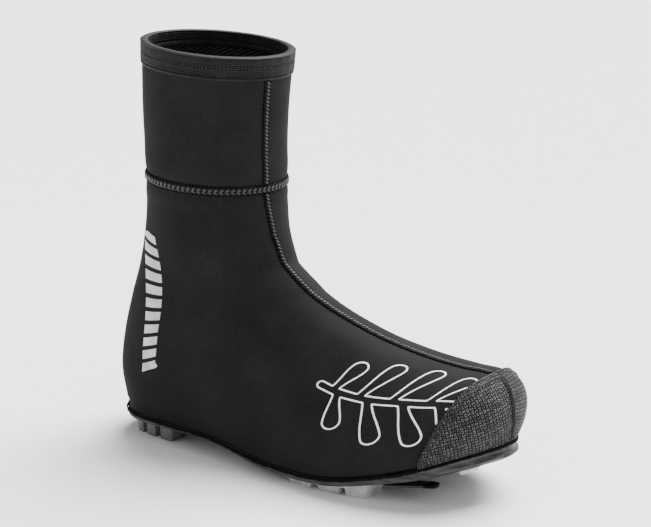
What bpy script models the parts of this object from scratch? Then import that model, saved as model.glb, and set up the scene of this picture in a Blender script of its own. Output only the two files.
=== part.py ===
"""A pull-on winter cycling overshoe for the right foot, in metres.

+X runs from heel to toe, +Y is the inner side of the foot and the floor is at z = 0.
The upper, its overlays and its seams are all read from one surface, which a table of
sections spans from the collar down the shaft, round the ankle and along the foot.
"""

import bpy
import numpy as np

# Driving sizes of the foot
LENGTH = 0.2955
BALL_WIDTH = 0.108
HEEL_WIDTH = 0.082
INSTEP_HEIGHT = 0.1345
TOE_HEIGHT = 0.040
TOE_SPRING = 0.028
TOE_SWING = 0.013
EDGE_HEIGHT = 0.012

# Driving sizes of the shaft
COLLAR_HEIGHT = 0.271
COLLAR_DEPTH = 0.101
COLLAR_WIDTH = 0.094
ANKLE_DEPTH = 0.0955
ANKLE_WIDTH = 0.0885

# Thicknesses, bands and clearances
WALL = 0.003
CLEARANCE = 0.0003
BINDING_HEIGHT = 0.0105
HEM_HEIGHT = 0.0035
BINDING_INSIDE = 0.009
TAPE = 0.0014
ANKLE_SEAM_WIDTH = 0.0075
FRONT_SEAM_WIDTH = 0.0065
SEAM_RISE = 0.0012
CAP_THICKNESS = 0.0010
CAP_HEM = 0.006
CAP_HEM_RISE = 0.0007
EDGE_TAPE_HEIGHT = 0.0024
EDGE_TAPE = 0.0012

# Sizes of the rubber underneath
SOLE_BAND = 0.0055
SOLE_SHEET = 0.0032
SOLE_OVERHANG = 0.0010
CLEAT_LENGTH = 0.062
CLEAT_WIDTH = 0.034
CLEAT_CORNER = 0.012
TREAD_PAD = 0.0012
TOE_LUG = 0.0025
LUG_DRAFT = 0.0007

# Section numbers where the closed rings end, where the sides turn under and where the toe ends
HEEL_END = 8
ARCH_START = 10.5
TOE_END = 19

# Where the cleat opening and the lugs lie: by section number along, by share of half width across
CLEAT_MIDDLE = 14.2
HEEL_BLOCKS = ((9.75, 10.08), (10.2, 10.53), (10.65, 11.0))
HEEL_HALVES = ((-0.80, -0.34), (0.34, 0.80))
BALL_BLOCKS = ((13.35, 13.75), (13.85, 14.25), (14.35, 14.75))
BALL_OUTER = ((-0.90, -0.50),)
BALL_INNER = ((0.50, 0.90),)
TOE_BLOCKS = ((16.7, 17.15),)
TOE_HALVES = ((-0.62, -0.22), (0.22, 0.62))


def shaft(share):
    """Height on the shaft: 0 at the crook of the instep, 1 at the back of the collar."""
    return INSTEP_HEIGHT + share * (COLLAR_HEIGHT - INSTEP_HEIGHT)


def instep(share):
    """Height on the ridge of the foot: 0 at the top of the toe, 1 at the crook."""
    return toe(1) + share * (INSTEP_HEIGHT - toe(1))


def toe(share):
    """Height on the toe: 0 at its lower edge, 1 at its top."""
    return EDGE_HEIGHT + TOE_SPRING + share * TOE_HEIGHT


def edge(share):
    """Height of the lower edge of the upper: 0 at the ball, 1 at the tip of the toe."""
    return EDGE_HEIGHT + share * TOE_SPRING


MID_DEPTH = (COLLAR_DEPTH + ANKLE_DEPTH) / 2
MID_WIDTH = (COLLAR_WIDTH + ANKLE_WIDTH) / 2
COLLAR_X = 0.259 * LENGTH
CUFF_X = 0.249 * LENGTH
ANKLE_X = 0.250 * LENGTH

# One row for each section, from the collar to the tip of the toe. A section lies in the plane
# through its ridge point and its low point. Down to HEEL_END it is a closed ring and the low
# point is the back of the leg or heel. After it, it is an arch that ends on the lower edge.
COLUMNS = (
    "ridge_x", "ridge_z", "low_x", "low_z", "width",
    "widest", "outer_edge", "inner_edge", "crown", "side", "swing", "band",
)
SECTIONS = (
    (COLLAR_X + COLLAR_DEPTH / 2, shaft(0.94), COLLAR_X - COLLAR_DEPTH / 2, shaft(1.0), COLLAR_WIDTH,
     0.50, 0, 0, 2.0, 2.0, 0, 0.90),
    (CUFF_X + MID_DEPTH / 2, shaft(0.64), CUFF_X - MID_DEPTH / 2, shaft(0.67), MID_WIDTH,
     0.50, 0, 0, 2.0, 2.0, 0, 0.90),
    (ANKLE_X + ANKLE_DEPTH / 2, shaft(0.32), ANKLE_X - ANKLE_DEPTH / 2, shaft(0.35), ANKLE_WIDTH,
     0.50, 0, 0, 2.0, 2.0, 0, 0.90),
    (0.418 * LENGTH, shaft(0.20), 0.083 * LENGTH, shaft(0.12), 1.03 * HEEL_WIDTH,
     0.50, 0, 0, 2.0, 2.1, 0, 0.90),
    (0.426 * LENGTH, shaft(0.12), 0.062 * LENGTH, 0.89 * INSTEP_HEIGHT, HEEL_WIDTH,
     0.50, 0, 0, 2.0, 2.2, 0, 0.90),
    (0.434 * LENGTH, shaft(0.066), 0.032 * LENGTH, 0.69 * INSTEP_HEIGHT, HEEL_WIDTH,
     0.48, 0, 0, 2.0, 2.3, 0, 0.90),
    (0.441 * LENGTH, shaft(0.032), 0.008 * LENGTH, 0.48 * INSTEP_HEIGHT, HEEL_WIDTH,
     0.46, 0, 0, 2.0, 2.5, 0, 0.90),
    (0.448 * LENGTH, shaft(0), 0, 0.285 * INSTEP_HEIGHT, HEEL_WIDTH,
     0.46, 0, 0, 2.0, 2.7, 0, 0.90),
    (0.457 * LENGTH, instep(0.92), 0.017 * LENGTH, edge(0.16), HEEL_WIDTH,
     0.48, 0, 0, 2.0, 2.8, 0, 0.90),
    (0.477 * LENGTH, instep(0.84), 0.037 * LENGTH, edge(0.17), 1.01 * HEEL_WIDTH,
     0.52, 0.26 * HEEL_WIDTH, 0.26 * HEEL_WIDTH, 2.0, 2.8, 0, 0.90),
    (0.505 * LENGTH, instep(0.735), 0.095 * LENGTH, edge(0.17), 1.025 * HEEL_WIDTH,
     0.58, 0.43 * HEEL_WIDTH, 0.42 * HEEL_WIDTH, 2.0, 2.8, 0, 0.90),
    (0.539 * LENGTH, instep(0.60), 0.197 * LENGTH, edge(0.17), 1.055 * HEEL_WIDTH,
     0.64, 0.48 * HEEL_WIDTH, 0.45 * HEEL_WIDTH, 2.0, 2.6, 0, 0.80),
    (0.602 * LENGTH, instep(0.43), 0.339 * LENGTH, edge(0.13), 0.83 * BALL_WIDTH,
     0.70, 0.385 * BALL_WIDTH, 0.32 * BALL_WIDTH, 2.0, 2.5, 0.08 * TOE_SWING, 0.65),
    (0.697 * LENGTH, instep(0.24), 0.502 * LENGTH, edge(-0.05), 0.915 * BALL_WIDTH,
     0.78, 0.445 * BALL_WIDTH, 0.39 * BALL_WIDTH, 2.1, 2.4, 0.17 * TOE_SWING, 0.85),
    (0.797 * LENGTH, instep(0.105), 0.658 * LENGTH, edge(-0.02), BALL_WIDTH,
     0.86, 0.485 * BALL_WIDTH, 0.455 * BALL_WIDTH, 2.2, 2.4, 0.36 * TOE_SWING, 1.0),
    (0.885 * LENGTH, instep(0.035), 0.780 * LENGTH, edge(0.23), 0.955 * BALL_WIDTH,
     0.86, 0.45 * BALL_WIDTH, 0.44 * BALL_WIDTH, 2.3, 2.4, 0.60 * TOE_SWING, 1.15),
    (0.950 * LENGTH, toe(1), 0.872 * LENGTH, edge(0.52), 0.825 * BALL_WIDTH,
     0.84, 0.38 * BALL_WIDTH, 0.38 * BALL_WIDTH, 2.3, 2.4, 0.88 * TOE_SWING, 1.55),
    (0.990 * LENGTH, toe(0.78), 0.929 * LENGTH, edge(0.74), 0.64 * BALL_WIDTH,
     0.82, 0.285 * BALL_WIDTH, 0.29 * BALL_WIDTH, 2.2, 2.4, TOE_SWING, 1.75),
    (1.003 * LENGTH, toe(0.38), 0.970 * LENGTH, edge(0.89), 0.355 * BALL_WIDTH,
     0.80, 0.165 * BALL_WIDTH, 0.168 * BALL_WIDTH, 2.1, 2.4, TOE_SWING, 1.80),
    (0.996 * LENGTH, toe(0), 0.996 * LENGTH, edge(1), 0,
     0.80, 0, 0, 2.0, 2.4, TOE_SWING, 1.80),
)

# Where the front seam and the rear edge of the toe cap run, by section number
SEAM_ROWS = (0, 2, 5, 8, 10, 12, 14, 19)
SEAM_SHIFT = (-0.062, -0.054, -0.030, -0.024, -0.034, -0.030, -0.010, 0.0)
CAP_SHARES = (-1.0, -0.6, -0.25, 0.0, 0.25, 0.6, 1.0)
CAP_ROWS = (15.88, 15.92, 15.96, 16.04, 15.96, 15.92, 15.88)


def hermite(values, t, first=None, last=None):
    """A smooth curve through one value a section, with its end slopes given where they matter."""
    slopes = np.gradient(values)
    slopes[0] = slopes[0] if first is None else first
    slopes[-1] = slopes[-1] if last is None else last
    k = np.clip(np.floor(t).astype(int), 0, len(values) - 2)
    u = t - k
    rise = values[k + 1] - values[k]
    return (values[k] + rise * (3 * u**2 - 2 * u**3)
            + slopes[k] * (u**3 - 2 * u**2 + u) + slopes[k + 1] * (u**3 - u**2))


def section_at(t):
    """Every column of the table at the section numbers t, which may lie between two rows."""
    got = {}
    for name, values in zip(COLUMNS, np.array(SECTIONS, float).T):
        flat_end = name in ("ridge_x", "low_x", "widest", "crown", "side", "swing", "band")
        last = 0.0 if flat_end else values[-1] - values[-2]
        if name in ("low_x", "low_z", "outer_edge", "inner_edge"):
            leg = hermite(values[: HEEL_END + 1], np.clip(t, 0, HEEL_END))
            first = 0.0 if name.startswith("low") else values[HEEL_END + 1]
            foot = hermite(values[HEEL_END:], np.clip(t, HEEL_END, None) - HEEL_END, first, last)
            got[name] = np.where(t < HEEL_END, leg, foot)
        else:
            got[name] = hermite(values, t, None, last)
    return got


def skin(t, f):
    """Points on the outer face of the upper, with the half girth of each section.

    t is the section number. f runs across it, from -1 at the low point or outer edge over the
    ridge at 0 to 1 at the low point or inner edge, in even steps of length along the skin.
    """
    row = {name: values[:, None] for name, values in section_at(t).items()}
    half = np.maximum(row["width"] / 2, 1e-6)
    toward = np.where(f < 0, row["outer_edge"].T, row["inner_edge"].T).reshape(-1, 1)
    toward = np.clip(toward, 0, half)
    q = np.linspace(0, np.pi / 2, 72)[None, :]
    sin, cos = np.clip(np.sin(q), 0, 1), np.clip(np.cos(q), 0, 1)
    over, under, widest = 2 / row["crown"], row["side"], row["widest"]
    y = np.hstack([
        half * sin**over,
        ((half * cos[:, 1:] ** (2 / under)) ** under + (toward * sin[:, 1:] ** (2 / under)) ** under) ** (1 / under),
    ])
    s = np.hstack([widest * (1 - cos**over), widest + (1 - widest) * sin[:, 1:] ** (2 / under)])
    reach_x, reach_z = row["low_x"] - row["ridge_x"], row["low_z"] - row["ridge_z"]
    steps = np.hypot(np.diff(y), np.diff(s) * np.hypot(reach_x, reach_z))
    run = np.hstack([np.zeros((len(t), 1)), np.cumsum(steps, 1)])
    girth = run[:, -1]
    goal = np.abs(f) * girth
    k = np.clip((run < goal[:, None]).sum(1), 1, run.shape[1] - 1)
    each = np.arange(len(t))
    before = run[each, k - 1]
    u = (goal - before) / np.maximum(run[each, k] - before, 1e-12)
    y_at = y[each, k - 1] + u * (y[each, k] - y[each, k - 1])
    s_at = s[each, k - 1] + u * (s[each, k] - s[each, k - 1])
    points = np.stack([
        row["ridge_x"][:, 0] + s_at * reach_x[:, 0],
        np.sign(f) * y_at + row["swing"][:, 0],
        row["ridge_z"][:, 0] + s_at * reach_z[:, 0],
    ], 1)
    return points, girth


def unit(vectors):
    return vectors / np.maximum(np.linalg.norm(vectors, axis=-1, keepdims=True), 1e-12)


def outward(t, f):
    """The skin's outward direction, evened out where the ends of a ring meet and at the toe's tip."""
    f = np.where(t > TOE_END - 0.02, 0.0, f)
    t = np.clip(t, 0, TOE_END - 0.04)
    along = skin(np.clip(t + 0.03, 0, TOE_END), f)[0] - skin(np.clip(t - 0.03, 0, TOE_END), f)[0]
    across = skin(t, np.clip(f + 0.012, -1, 1))[0] - skin(t, np.clip(f - 0.012, -1, 1))[0]
    normal = unit(np.cross(unit(along), unit(across)))
    ring_end = (t <= HEEL_END) & (np.abs(f) > 0.999)
    normal[ring_end, 1] = 0
    return unit(normal)


def offset(t, f, out):
    """Points at the distance out beyond the skin, over grids of t and f of one shape."""
    t, f, out = np.broadcast_arrays(t, f, out)
    flat_t, flat_f = t.ravel().astype(float), f.ravel().astype(float)
    points = skin(flat_t, flat_f)[0] + outward(flat_t, flat_f) * out.reshape(-1, 1)
    return points.reshape(*t.shape, 3)


def reach(t, side, out):
    """The share of the half girth at which a point out beyond the skin is level with the lower edge."""
    t, side, out = (a.ravel().astype(float) for a in np.broadcast_arrays(t, side, out))
    level = section_at(t)["low_z"]
    near, far = np.full(t.shape, 0.5), np.ones(t.shape)
    for _ in range(12):
        middle = (near + far) / 2
        points = skin(t, side * middle)[0] + outward(t, side * middle) * out[:, None]
        above = points[:, 2] >= level
        near, far = np.where(above, middle, near), np.where(above, far, middle)
    return np.where(t > ARCH_START, near, 1.0)


def overlay(t, f, out):
    """Points out beyond the skin over grids of t and f, with f drawn in so that none is below the edge."""
    t, f, out = np.broadcast_arrays(t, f, out)
    drawn_in = f * reach(t, np.where(f < 0, -1.0, 1.0), out).reshape(t.shape)
    return offset(t, drawn_in, out)


def solid(name, high, low, ids, material):
    """One closed body between two grids of points that share the numbering ids.

    Grid points with the same number are one point, as at a pole or where a ring closes.
    The faces of high point along rows x columns, and open borders get a wall.
    """
    mesh = bpy.data.meshes.new(name)
    count = ids.max() + 1
    points = np.zeros((2 * count, 3))
    points[ids.ravel()] = high.reshape(-1, 3)
    points[count + ids.ravel()] = low.reshape(-1, 3)
    top = []
    for i in range(ids.shape[0] - 1):
        for j in range(ids.shape[1] - 1):
            corners = (ids[i, j], ids[i + 1, j], ids[i + 1, j + 1], ids[i, j + 1])
            face = [int(c) for n, c in enumerate(corners) if c != corners[n - 1]]
            if len(face) > 2:
                top.append(face)
    edges = {(a, b) for face in top for a, b in zip(face, face[1:] + face[:1])}
    walls = [(b, a, a + int(count), b + int(count)) for a, b in edges if (b, a) not in edges]
    under = [[c + int(count) for c in reversed(face)] for face in top]
    mesh.from_pydata(points.tolist(), [], top + under + sorted(walls))
    used = {v for face in mesh.polygons for v in face.vertices}
    assert len(used) == len(mesh.vertices), name
    mesh.shade_smooth()
    mesh.set_sharp_from_angle(angle=np.radians(40))
    piece = bpy.data.objects.new(name, mesh)
    bpy.context.collection.objects.link(piece)
    piece.data.materials.append(material)
    return piece


def facing(points, ids):
    """Outward direction at each point of a grid, evened out over the faces that meet there."""
    diagonals = points[1:, 1:] - points[:-1, :-1], points[:-1, 1:] - points[1:, :-1]
    areas = np.cross(*diagonals)
    total = np.zeros((ids.max() + 1, 3))
    for corner in (ids[:-1, :-1], ids[1:, :-1], ids[1:, 1:], ids[:-1, 1:]):
        np.add.at(total, corner.ravel(), areas.reshape(-1, 3))
    return unit(total)[ids]


def numbering(rows, columns, closed_rows=0, first_pole=False, last_pole=False):
    """Point numbers of a grid whose first closed_rows rows are rings and whose ends may be poles."""
    ids = np.arange(rows * columns).reshape(rows, columns)
    ids[:closed_rows, -1] = ids[:closed_rows, 0]
    if first_pole:
        ids[0, :] = ids[0, 0]
    if last_pole:
        ids[-1, :] = ids[-1, 0]
    return np.unique(ids, return_inverse=True)[1].reshape(rows, columns)


def finish(name, colour, roughness):
    material = bpy.data.materials.new(name)
    material.use_nodes = True
    shader = material.node_tree.nodes["Principled BSDF"]
    shader.inputs["Base Color"].default_value = (*colour, 1)
    shader.inputs["Roughness"].default_value = roughness
    shader.inputs["Metallic"].default_value = 0
    return material


def spread(start, end, count):
    return np.linspace(start, end, count)


for old in list(bpy.data.objects):
    bpy.data.objects.remove(old)

# The upper, the edge tape and the sole share these sections of the foot, so their faces run alike
FOOT_ROWS = np.concatenate([
    (HEEL_END, 8.12, 8.35, 8.65), spread(9, 15, 13), spread(15.4, 18.6, 9), (18.82, TOE_END),
])

# Shares across the upper and its cap, closer together where the side turns under
HALF_ACROSS = (0, 0.08, 0.16, 0.24, 0.32, 0.40, 0.48, 0.56, 0.64, 0.72, 0.79, 0.85, 0.90, 0.94, 0.97, 1)
ACROSS = np.concatenate([-np.array(HALF_ACROSS[:0:-1]), HALF_ACROSS])

# Upper: one hollow neoprene wall, open at the collar and underneath
rows = np.concatenate([(0, 0.5, 1, 1.5, 1.88, 2.12), spread(2.6, 7.4, 9), FOOT_ROWS])
t, f = np.meshgrid(rows, ACROSS, indexing="ij")
ids = numbering(*t.shape, closed_rows=int((rows <= HEEL_END).sum()), last_pole=True)
neoprene = finish("neoprene", (0.020, 0.020, 0.022), 0.85)
face = skin(t.ravel(), f.ravel())[0].reshape(*t.shape, 3)
solid("upper", face, face - WALL * facing(face, ids), ids, neoprene)

# Toe cap: reinforced fabric laid over the toe, with a folded hem along its rear edge
rear = np.interp(ACROSS, CAP_SHARES, CAP_ROWS)
step = 0.05
slope = np.linalg.norm(skin(rear + step, ACROSS)[0] - skin(rear, ACROSS)[0], axis=1) / step
hem = CAP_HEM / slope
shares = spread(0, 1, 12)[1:, None]
t = np.vstack([rear, rear + hem, rear + hem * 1.12, (rear + hem * 1.12) * (1 - shares) + TOE_END * shares])
f = np.broadcast_to(ACROSS, t.shape)
high = np.full(t.shape, CLEARANCE + CAP_THICKNESS)
high[:2] += CAP_HEM_RISE
ids = numbering(*t.shape, last_pole=True)
weave = finish("toe_weave", (0.075, 0.075, 0.078), 0.70)
solid("toe_cap", overlay(t, f, high), overlay(t, f, np.array(CLEARANCE)), ids, weave)

# Collar binding: ribbed elastic folded over the rim, with a narrow hem below it outside
top = np.zeros(len(ACROSS))
rim = skin(top, ACROSS)[0]
normal = outward(top, ACROSS)
down = unit(skin(top + 0.1, ACROSS)[0] - rim)
inner_face = -WALL - CLEARANCE
bend = 0.5 * TAPE
profile = (
    (CLEARANCE, BINDING_HEIGHT + HEM_HEIGHT),
    (CLEARANCE + 0.6 * TAPE, BINDING_HEIGHT + HEM_HEIGHT),
    (CLEARANCE + 0.6 * TAPE, BINDING_HEIGHT),
    (CLEARANCE + TAPE, BINDING_HEIGHT),
    (CLEARANCE + TAPE, -CLEARANCE - bend),
    (CLEARANCE + bend, -CLEARANCE - TAPE),
    (inner_face - bend, -CLEARANCE - TAPE),
    (inner_face - TAPE, -CLEARANCE - bend),
    (inner_face - TAPE, BINDING_INSIDE),
    (inner_face, BINDING_INSIDE),
    (inner_face, -CLEARANCE),
    (CLEARANCE, -CLEARANCE),
)
loops = [rim + out * normal + drop * down for out, drop in profile]
mesh = bpy.data.meshes.new("collar_binding")
turns = len(ACROSS) - 1
points = np.concatenate([loop[:turns] for loop in loops])
faces = []
for i in range(len(profile)):
    for j in range(turns):
        i2, j2 = (i + 1) % len(profile), (j + 1) % turns
        faces.append([i * turns + j, i * turns + j2, i2 * turns + j2, i2 * turns + j])
mesh.from_pydata(points.tolist(), [], faces)
mesh.shade_smooth()
mesh.set_sharp_from_angle(angle=np.radians(35))
binding = bpy.data.objects.new("collar_binding", mesh)
bpy.context.collection.objects.link(binding)
mesh.materials.append(finish("elastic", (0.018, 0.018, 0.019), 0.65))


def lane(name, t_mid, f_mid, dt, df, closed, material):
    """A raised strip on the skin, its middle at t_mid, f_mid and its half width dt or df."""
    cross = np.array((-1.0, -0.7, 0.0, 0.7, 1.0))
    rise = np.array((0.35, 1.0, 0.95, 1.0, 0.35)) * SEAM_RISE
    t = t_mid[:, None] + dt[:, None] * cross
    f = np.clip(f_mid[:, None] + df[:, None] * cross, -1, 1)
    high = np.broadcast_to(CLEARANCE + rise, t.shape)
    if closed:
        t, f, high = t.T, f.T, high.T
    ids = numbering(*t.shape, closed_rows=t.shape[0] if closed else 0)
    return solid(name, offset(t, f, high), offset(t, f, CLEARANCE), ids, material)


def speed(t, f):
    """Length of skin for each unit of t at points t, f."""
    near = 0.02
    return np.linalg.norm(skin(t + near, f)[0] - skin(t - near, f)[0], axis=1) / (2 * near)


# Ankle seam: a flat overlocked join all round the shaft
thread = finish("seam_tape", (0.016, 0.016, 0.017), 0.6)
ankle = np.full(len(ACROSS), 2.0)
half = ANKLE_SEAM_WIDTH / 2 / speed(ankle, ACROSS)
lane("ankle_seam", ankle, ACROSS, half, np.zeros(len(ACROSS)), True, thread)

# Front seam: the same join down the front, above the ankle seam and from it to the toe cap
rim_speed = speed(np.array([0.1]), np.array([0.0]))[0]
ankle_speed = speed(np.array([2.0]), np.array([0.0]))[0]
below_hem = (BINDING_HEIGHT + HEM_HEIGHT + CLEARANCE) / rim_speed
beside_ankle = (ANKLE_SEAM_WIDTH / 2 + CLEARANCE) / ankle_speed
last = np.array([np.interp(0, CAP_SHARES, CAP_ROWS)]), np.array([0.0])
beside = FRONT_SEAM_WIDTH / 2 / skin(*last)[1]
before_cap = np.interp(beside, CAP_SHARES, CAP_ROWS)[0] - CLEARANCE / speed(*last)[0]
for name, start, end in (
    ("front_seam_cuff", below_hem, 2 - beside_ankle),
    ("front_seam_instep", 2 + beside_ankle, before_cap),
):
    inside = rows[(rows > start + 0.05) & (rows < end - 0.05)]
    t_mid = np.concatenate([(start,), inside, (end,)])
    f_mid = np.interp(t_mid, SEAM_ROWS, SEAM_SHIFT)
    df = FRONT_SEAM_WIDTH / 2 / skin(t_mid, f_mid)[1]
    lane(name, t_mid, f_mid, np.zeros(len(t_mid)), df, False, thread)


def foot_edge(t, side, out):
    """Points of the upper's lower edge in plan, pushed outward by out."""
    def plain(at):
        row = section_at(at)
        wide = row["inner_edge"] if side > 0 else row["outer_edge"]
        return np.stack([row["low_x"], row["swing"] + side * wide], 1)

    ahead = unit(plain(np.clip(t + 0.02, HEEL_END, TOE_END)) - plain(np.clip(t - 0.02, HEEL_END, TOE_END)))
    away = np.stack([-side * ahead[:, 1], side * ahead[:, 0]], 1)
    away[t < HEEL_END + 1e-6] = (-1, 0)
    away[t > TOE_END - 1e-6] = (1, 0)
    return plain(t) + away * out


def sole_point(t, v, depth):
    """A point of the sole at section t and share v of its half width, depth below the upper's edge."""
    t, v, depth = (a.ravel().astype(float) for a in np.broadcast_arrays(t, v, depth))
    outer, inner = foot_edge(t, -1, SOLE_OVERHANG), foot_edge(t, 1, SOLE_OVERHANG)
    middle = (outer + inner) / 2
    side = np.where((v < 0)[:, None], outer, inner)
    plan = middle + np.abs(v)[:, None] * (side - middle)
    return np.column_stack([plan, section_at(t)["low_z"] - depth])


def band_at(t):
    """Full height of the sole's side below the upper's edge."""
    return section_at(np.asarray(t, float))["band"] * SOLE_BAND


# Sole: a dished rubber sheet whose side rises to the upper's edge, with toe spring and arch
rubber = finish("sole_rubber", (0.035, 0.036, 0.039), 0.5)
half_shares = (0, 0.2, 0.45, 0.7, 0.88, 0.96, 1)
shares = np.concatenate([-np.array(half_shares[:0:-1]), half_shares])
t, v = np.meshgrid(FOOT_ROWS, shares, indexing="ij")
band = band_at(t.ravel()).reshape(t.shape)
dish = (band - SOLE_SHEET) * np.clip((1 - np.abs(v)) / 0.12, 0, 1)
curl = np.interp(np.abs(v), (0, 0.88, 0.96, 1), (1, 1, 0.93, 0.72))
top = sole_point(t, v, CLEARANCE + np.maximum(dish, 0)).reshape(*t.shape, 3)
bottom = sole_point(t, v, CLEARANCE + band * curl).reshape(*t.shape, 3)
ids = numbering(*t.shape, first_pole=True, last_pole=True)
sole = solid("sole", top, bottom, ids, rubber)

# Cleat opening through the sole under the ball
ball = sole_point(np.array([CLEAT_MIDDLE]), np.array([0.0]), np.array([0.0]))[0]
corners = []
for sx, sy, start in ((1, 1, 0), (-1, 1, 90), (-1, -1, 180), (1, -1, 270)):
    for turn in np.radians(spread(start, start + 90, 5)):
        corners.append((
            ball[0] + sx * (CLEAT_LENGTH / 2 - CLEAT_CORNER) + CLEAT_CORNER * np.cos(turn),
            ball[1] + sy * (CLEAT_WIDTH / 2 - CLEAT_CORNER) + CLEAT_CORNER * np.sin(turn),
        ))
low, high_z = -0.01, EDGE_HEIGHT + TOE_SPRING
count = len(corners)
mesh = bpy.data.meshes.new("cleat_cutter")
mesh.from_pydata(
    [(x, y, low) for x, y in corners] + [(x, y, high_z) for x, y in corners], [],
    [list(range(count))[::-1], list(range(count, 2 * count))]
    + [[n, (n + 1) % count, count + (n + 1) % count, count + n] for n in range(count)],
)
cutter = bpy.data.objects.new("cleat_cutter", mesh)
bpy.context.collection.objects.link(cutter)
cutter.hide_render = True
cutter.display_type = "WIRE"
cut = sole.modifiers.new("cleat opening", "BOOLEAN")
cut.object = cutter
cut.operation = "DIFFERENCE"


def lines(blocks, margin, slack):
    """Grid lines for blocks given as (start, end), with a sloping wall of slack at each end."""
    got = [blocks[0][0] - margin]
    for start, end in blocks:
        got += [start, start + slack, end - slack, end]
    return np.array(got + [blocks[-1][1] + margin])


def tread(name, t_blocks, v_blocks, floor, material):
    """Rubber lugs on a thin pad under the sole. Each is one pair of t_blocks and v_blocks."""
    mid_t = (t_blocks[0][0] + t_blocks[-1][1]) / 2
    ends = sole_point(np.array([mid_t - 0.1, mid_t + 0.1]), np.array([0.0]), np.array([0.0]))
    per_t = (ends[1, 0] - ends[0, 0]) / 0.2
    sides = sole_point(np.array([mid_t]), np.array([0.0, 1.0]), np.array([0.0]))
    per_v = sides[1, 1] - sides[0, 1]
    t_lines = lines(t_blocks, 2 * LUG_DRAFT / per_t, LUG_DRAFT / per_t)
    v_lines = lines(v_blocks, 2 * LUG_DRAFT / per_v, LUG_DRAFT / per_v)
    t, v = np.meshgrid(t_lines, v_lines, indexing="ij")
    top = sole_point(t, v, 2 * CLEARANCE + band_at(t.ravel()).reshape(t.shape)).reshape(*t.shape, 3)

    def on_block(values, blocks):
        return np.any([(values > a + 1e-9) & (values < b - 1e-9) for a, b in blocks], axis=0)

    bottom = top.copy()
    bottom[..., 2] -= TREAD_PAD
    lug = on_block(t, t_blocks) & on_block(v, v_blocks)
    bottom[lug, 2] = 0 if floor else bottom[lug, 2] - TOE_LUG
    return solid(name, top, bottom, numbering(*t.shape), material)


# Treads: lugs at the heel, on both sides of the cleat opening and at the toe
pale = finish("lug_rubber", (0.36, 0.37, 0.39), 0.55)
tread("heel_tread", HEEL_BLOCKS, HEEL_HALVES, True, pale)
tread("ball_tread_outer", BALL_BLOCKS, BALL_OUTER, True, pale)
tread("ball_tread_inner", BALL_BLOCKS, BALL_INNER, True, pale)
tread("toe_tread", TOE_BLOCKS, TOE_HALVES, False, pale)

# Edge tape: a thin black strip round the top of the sole's side, just under the upper
section = ((0, 0), (0, 1), (0.7, 1), (1, 0.75), (1, 0.25), (0.7, 0))
loops = []
for out, drop in section:
    push = SOLE_OVERHANG + CLEARANCE + out * EDGE_TAPE
    plan = np.concatenate([foot_edge(FOOT_ROWS, -1, push), foot_edge(FOOT_ROWS[-2:0:-1], 1, push)])
    level = section_at(np.concatenate([FOOT_ROWS, FOOT_ROWS[-2:0:-1]]))["low_z"]
    loops.append(np.column_stack([plan, level - CLEARANCE - drop * EDGE_TAPE_HEIGHT]))
turns = len(loops[0])
faces = []
for i in range(len(section)):
    for j in range(turns):
        i2, j2 = (i + 1) % len(section), (j + 1) % turns
        faces.append([i * turns + j, i * turns + j2, i2 * turns + j2, i2 * turns + j])
mesh = bpy.data.meshes.new("edge_tape")
mesh.from_pydata(np.concatenate(loops).tolist(), [], faces)
mesh.shade_smooth()
mesh.set_sharp_from_angle(angle=np.radians(40))
mesh.materials.append(thread)
bpy.context.collection.objects.link(bpy.data.objects.new("edge_tape", mesh))

# The pieces hang on one empty, which puts the middle of the whole shoe's box over the origin
overshoe = bpy.data.objects.new("overshoe", None)
bpy.context.collection.objects.link(overshoe)
pieces = [piece for piece in bpy.data.objects if piece.type == "MESH"]
bounds = [np.array([v.co for v in piece.data.vertices]) for piece in pieces if not piece.hide_render]
bounds = np.concatenate(bounds)
middle = (bounds.min(0) + bounds.max(0)) / 2
overshoe.location = (-middle[0], -middle[1], -bounds[:, 2].min())
for piece in pieces:
    piece.parent = overshoe
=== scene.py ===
"""The looks of a pull-on winter cycling overshoe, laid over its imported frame, in metres."""

import bmesh
import bpy
import numpy as np
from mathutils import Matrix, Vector


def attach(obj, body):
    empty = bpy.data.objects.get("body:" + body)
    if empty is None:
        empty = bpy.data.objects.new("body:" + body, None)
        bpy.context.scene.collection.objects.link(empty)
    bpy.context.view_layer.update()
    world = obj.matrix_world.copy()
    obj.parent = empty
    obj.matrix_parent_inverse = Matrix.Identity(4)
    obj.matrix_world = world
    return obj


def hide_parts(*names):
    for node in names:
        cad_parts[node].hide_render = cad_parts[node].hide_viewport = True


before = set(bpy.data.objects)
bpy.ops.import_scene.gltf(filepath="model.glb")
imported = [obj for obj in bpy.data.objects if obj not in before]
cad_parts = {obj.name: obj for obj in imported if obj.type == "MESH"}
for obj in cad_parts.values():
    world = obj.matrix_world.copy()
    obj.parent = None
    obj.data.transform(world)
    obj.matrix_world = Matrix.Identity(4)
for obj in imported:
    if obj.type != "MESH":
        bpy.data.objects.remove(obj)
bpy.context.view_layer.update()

# Upper
# One tall sock of black neoprene, knit faced, that closes round the leg and the foot. A table of
# sections gives its form, and shallow folds and the pull of the ankle seam are laid over it.
PLACE = np.array((-0.148817, -0.004737, 0.0))
LENGTH, BALL_WIDTH, HEEL_WIDTH = 0.2955, 0.108, 0.082
INSTEP_HEIGHT, TOE_HEIGHT, TOE_SPRING, TOE_SWING, EDGE_HEIGHT = 0.1345, 0.040, 0.028, 0.013, 0.012
COLLAR_HEIGHT, COLLAR_DEPTH, COLLAR_WIDTH = 0.271, 0.101, 0.094
ANKLE_DEPTH, ANKLE_WIDTH = 0.0955, 0.0885
WALL = 0.003
CLEARANCE = 0.0003
# Section numbers of the ankle seam, the back of the heel and the tip of the toe
ANKLE_ROW, HEEL_END, TOE_END = 2, 8, 19
# How far above the neoprene the hidden face of a piece laid on it is
UNDER = 0.0001


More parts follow.
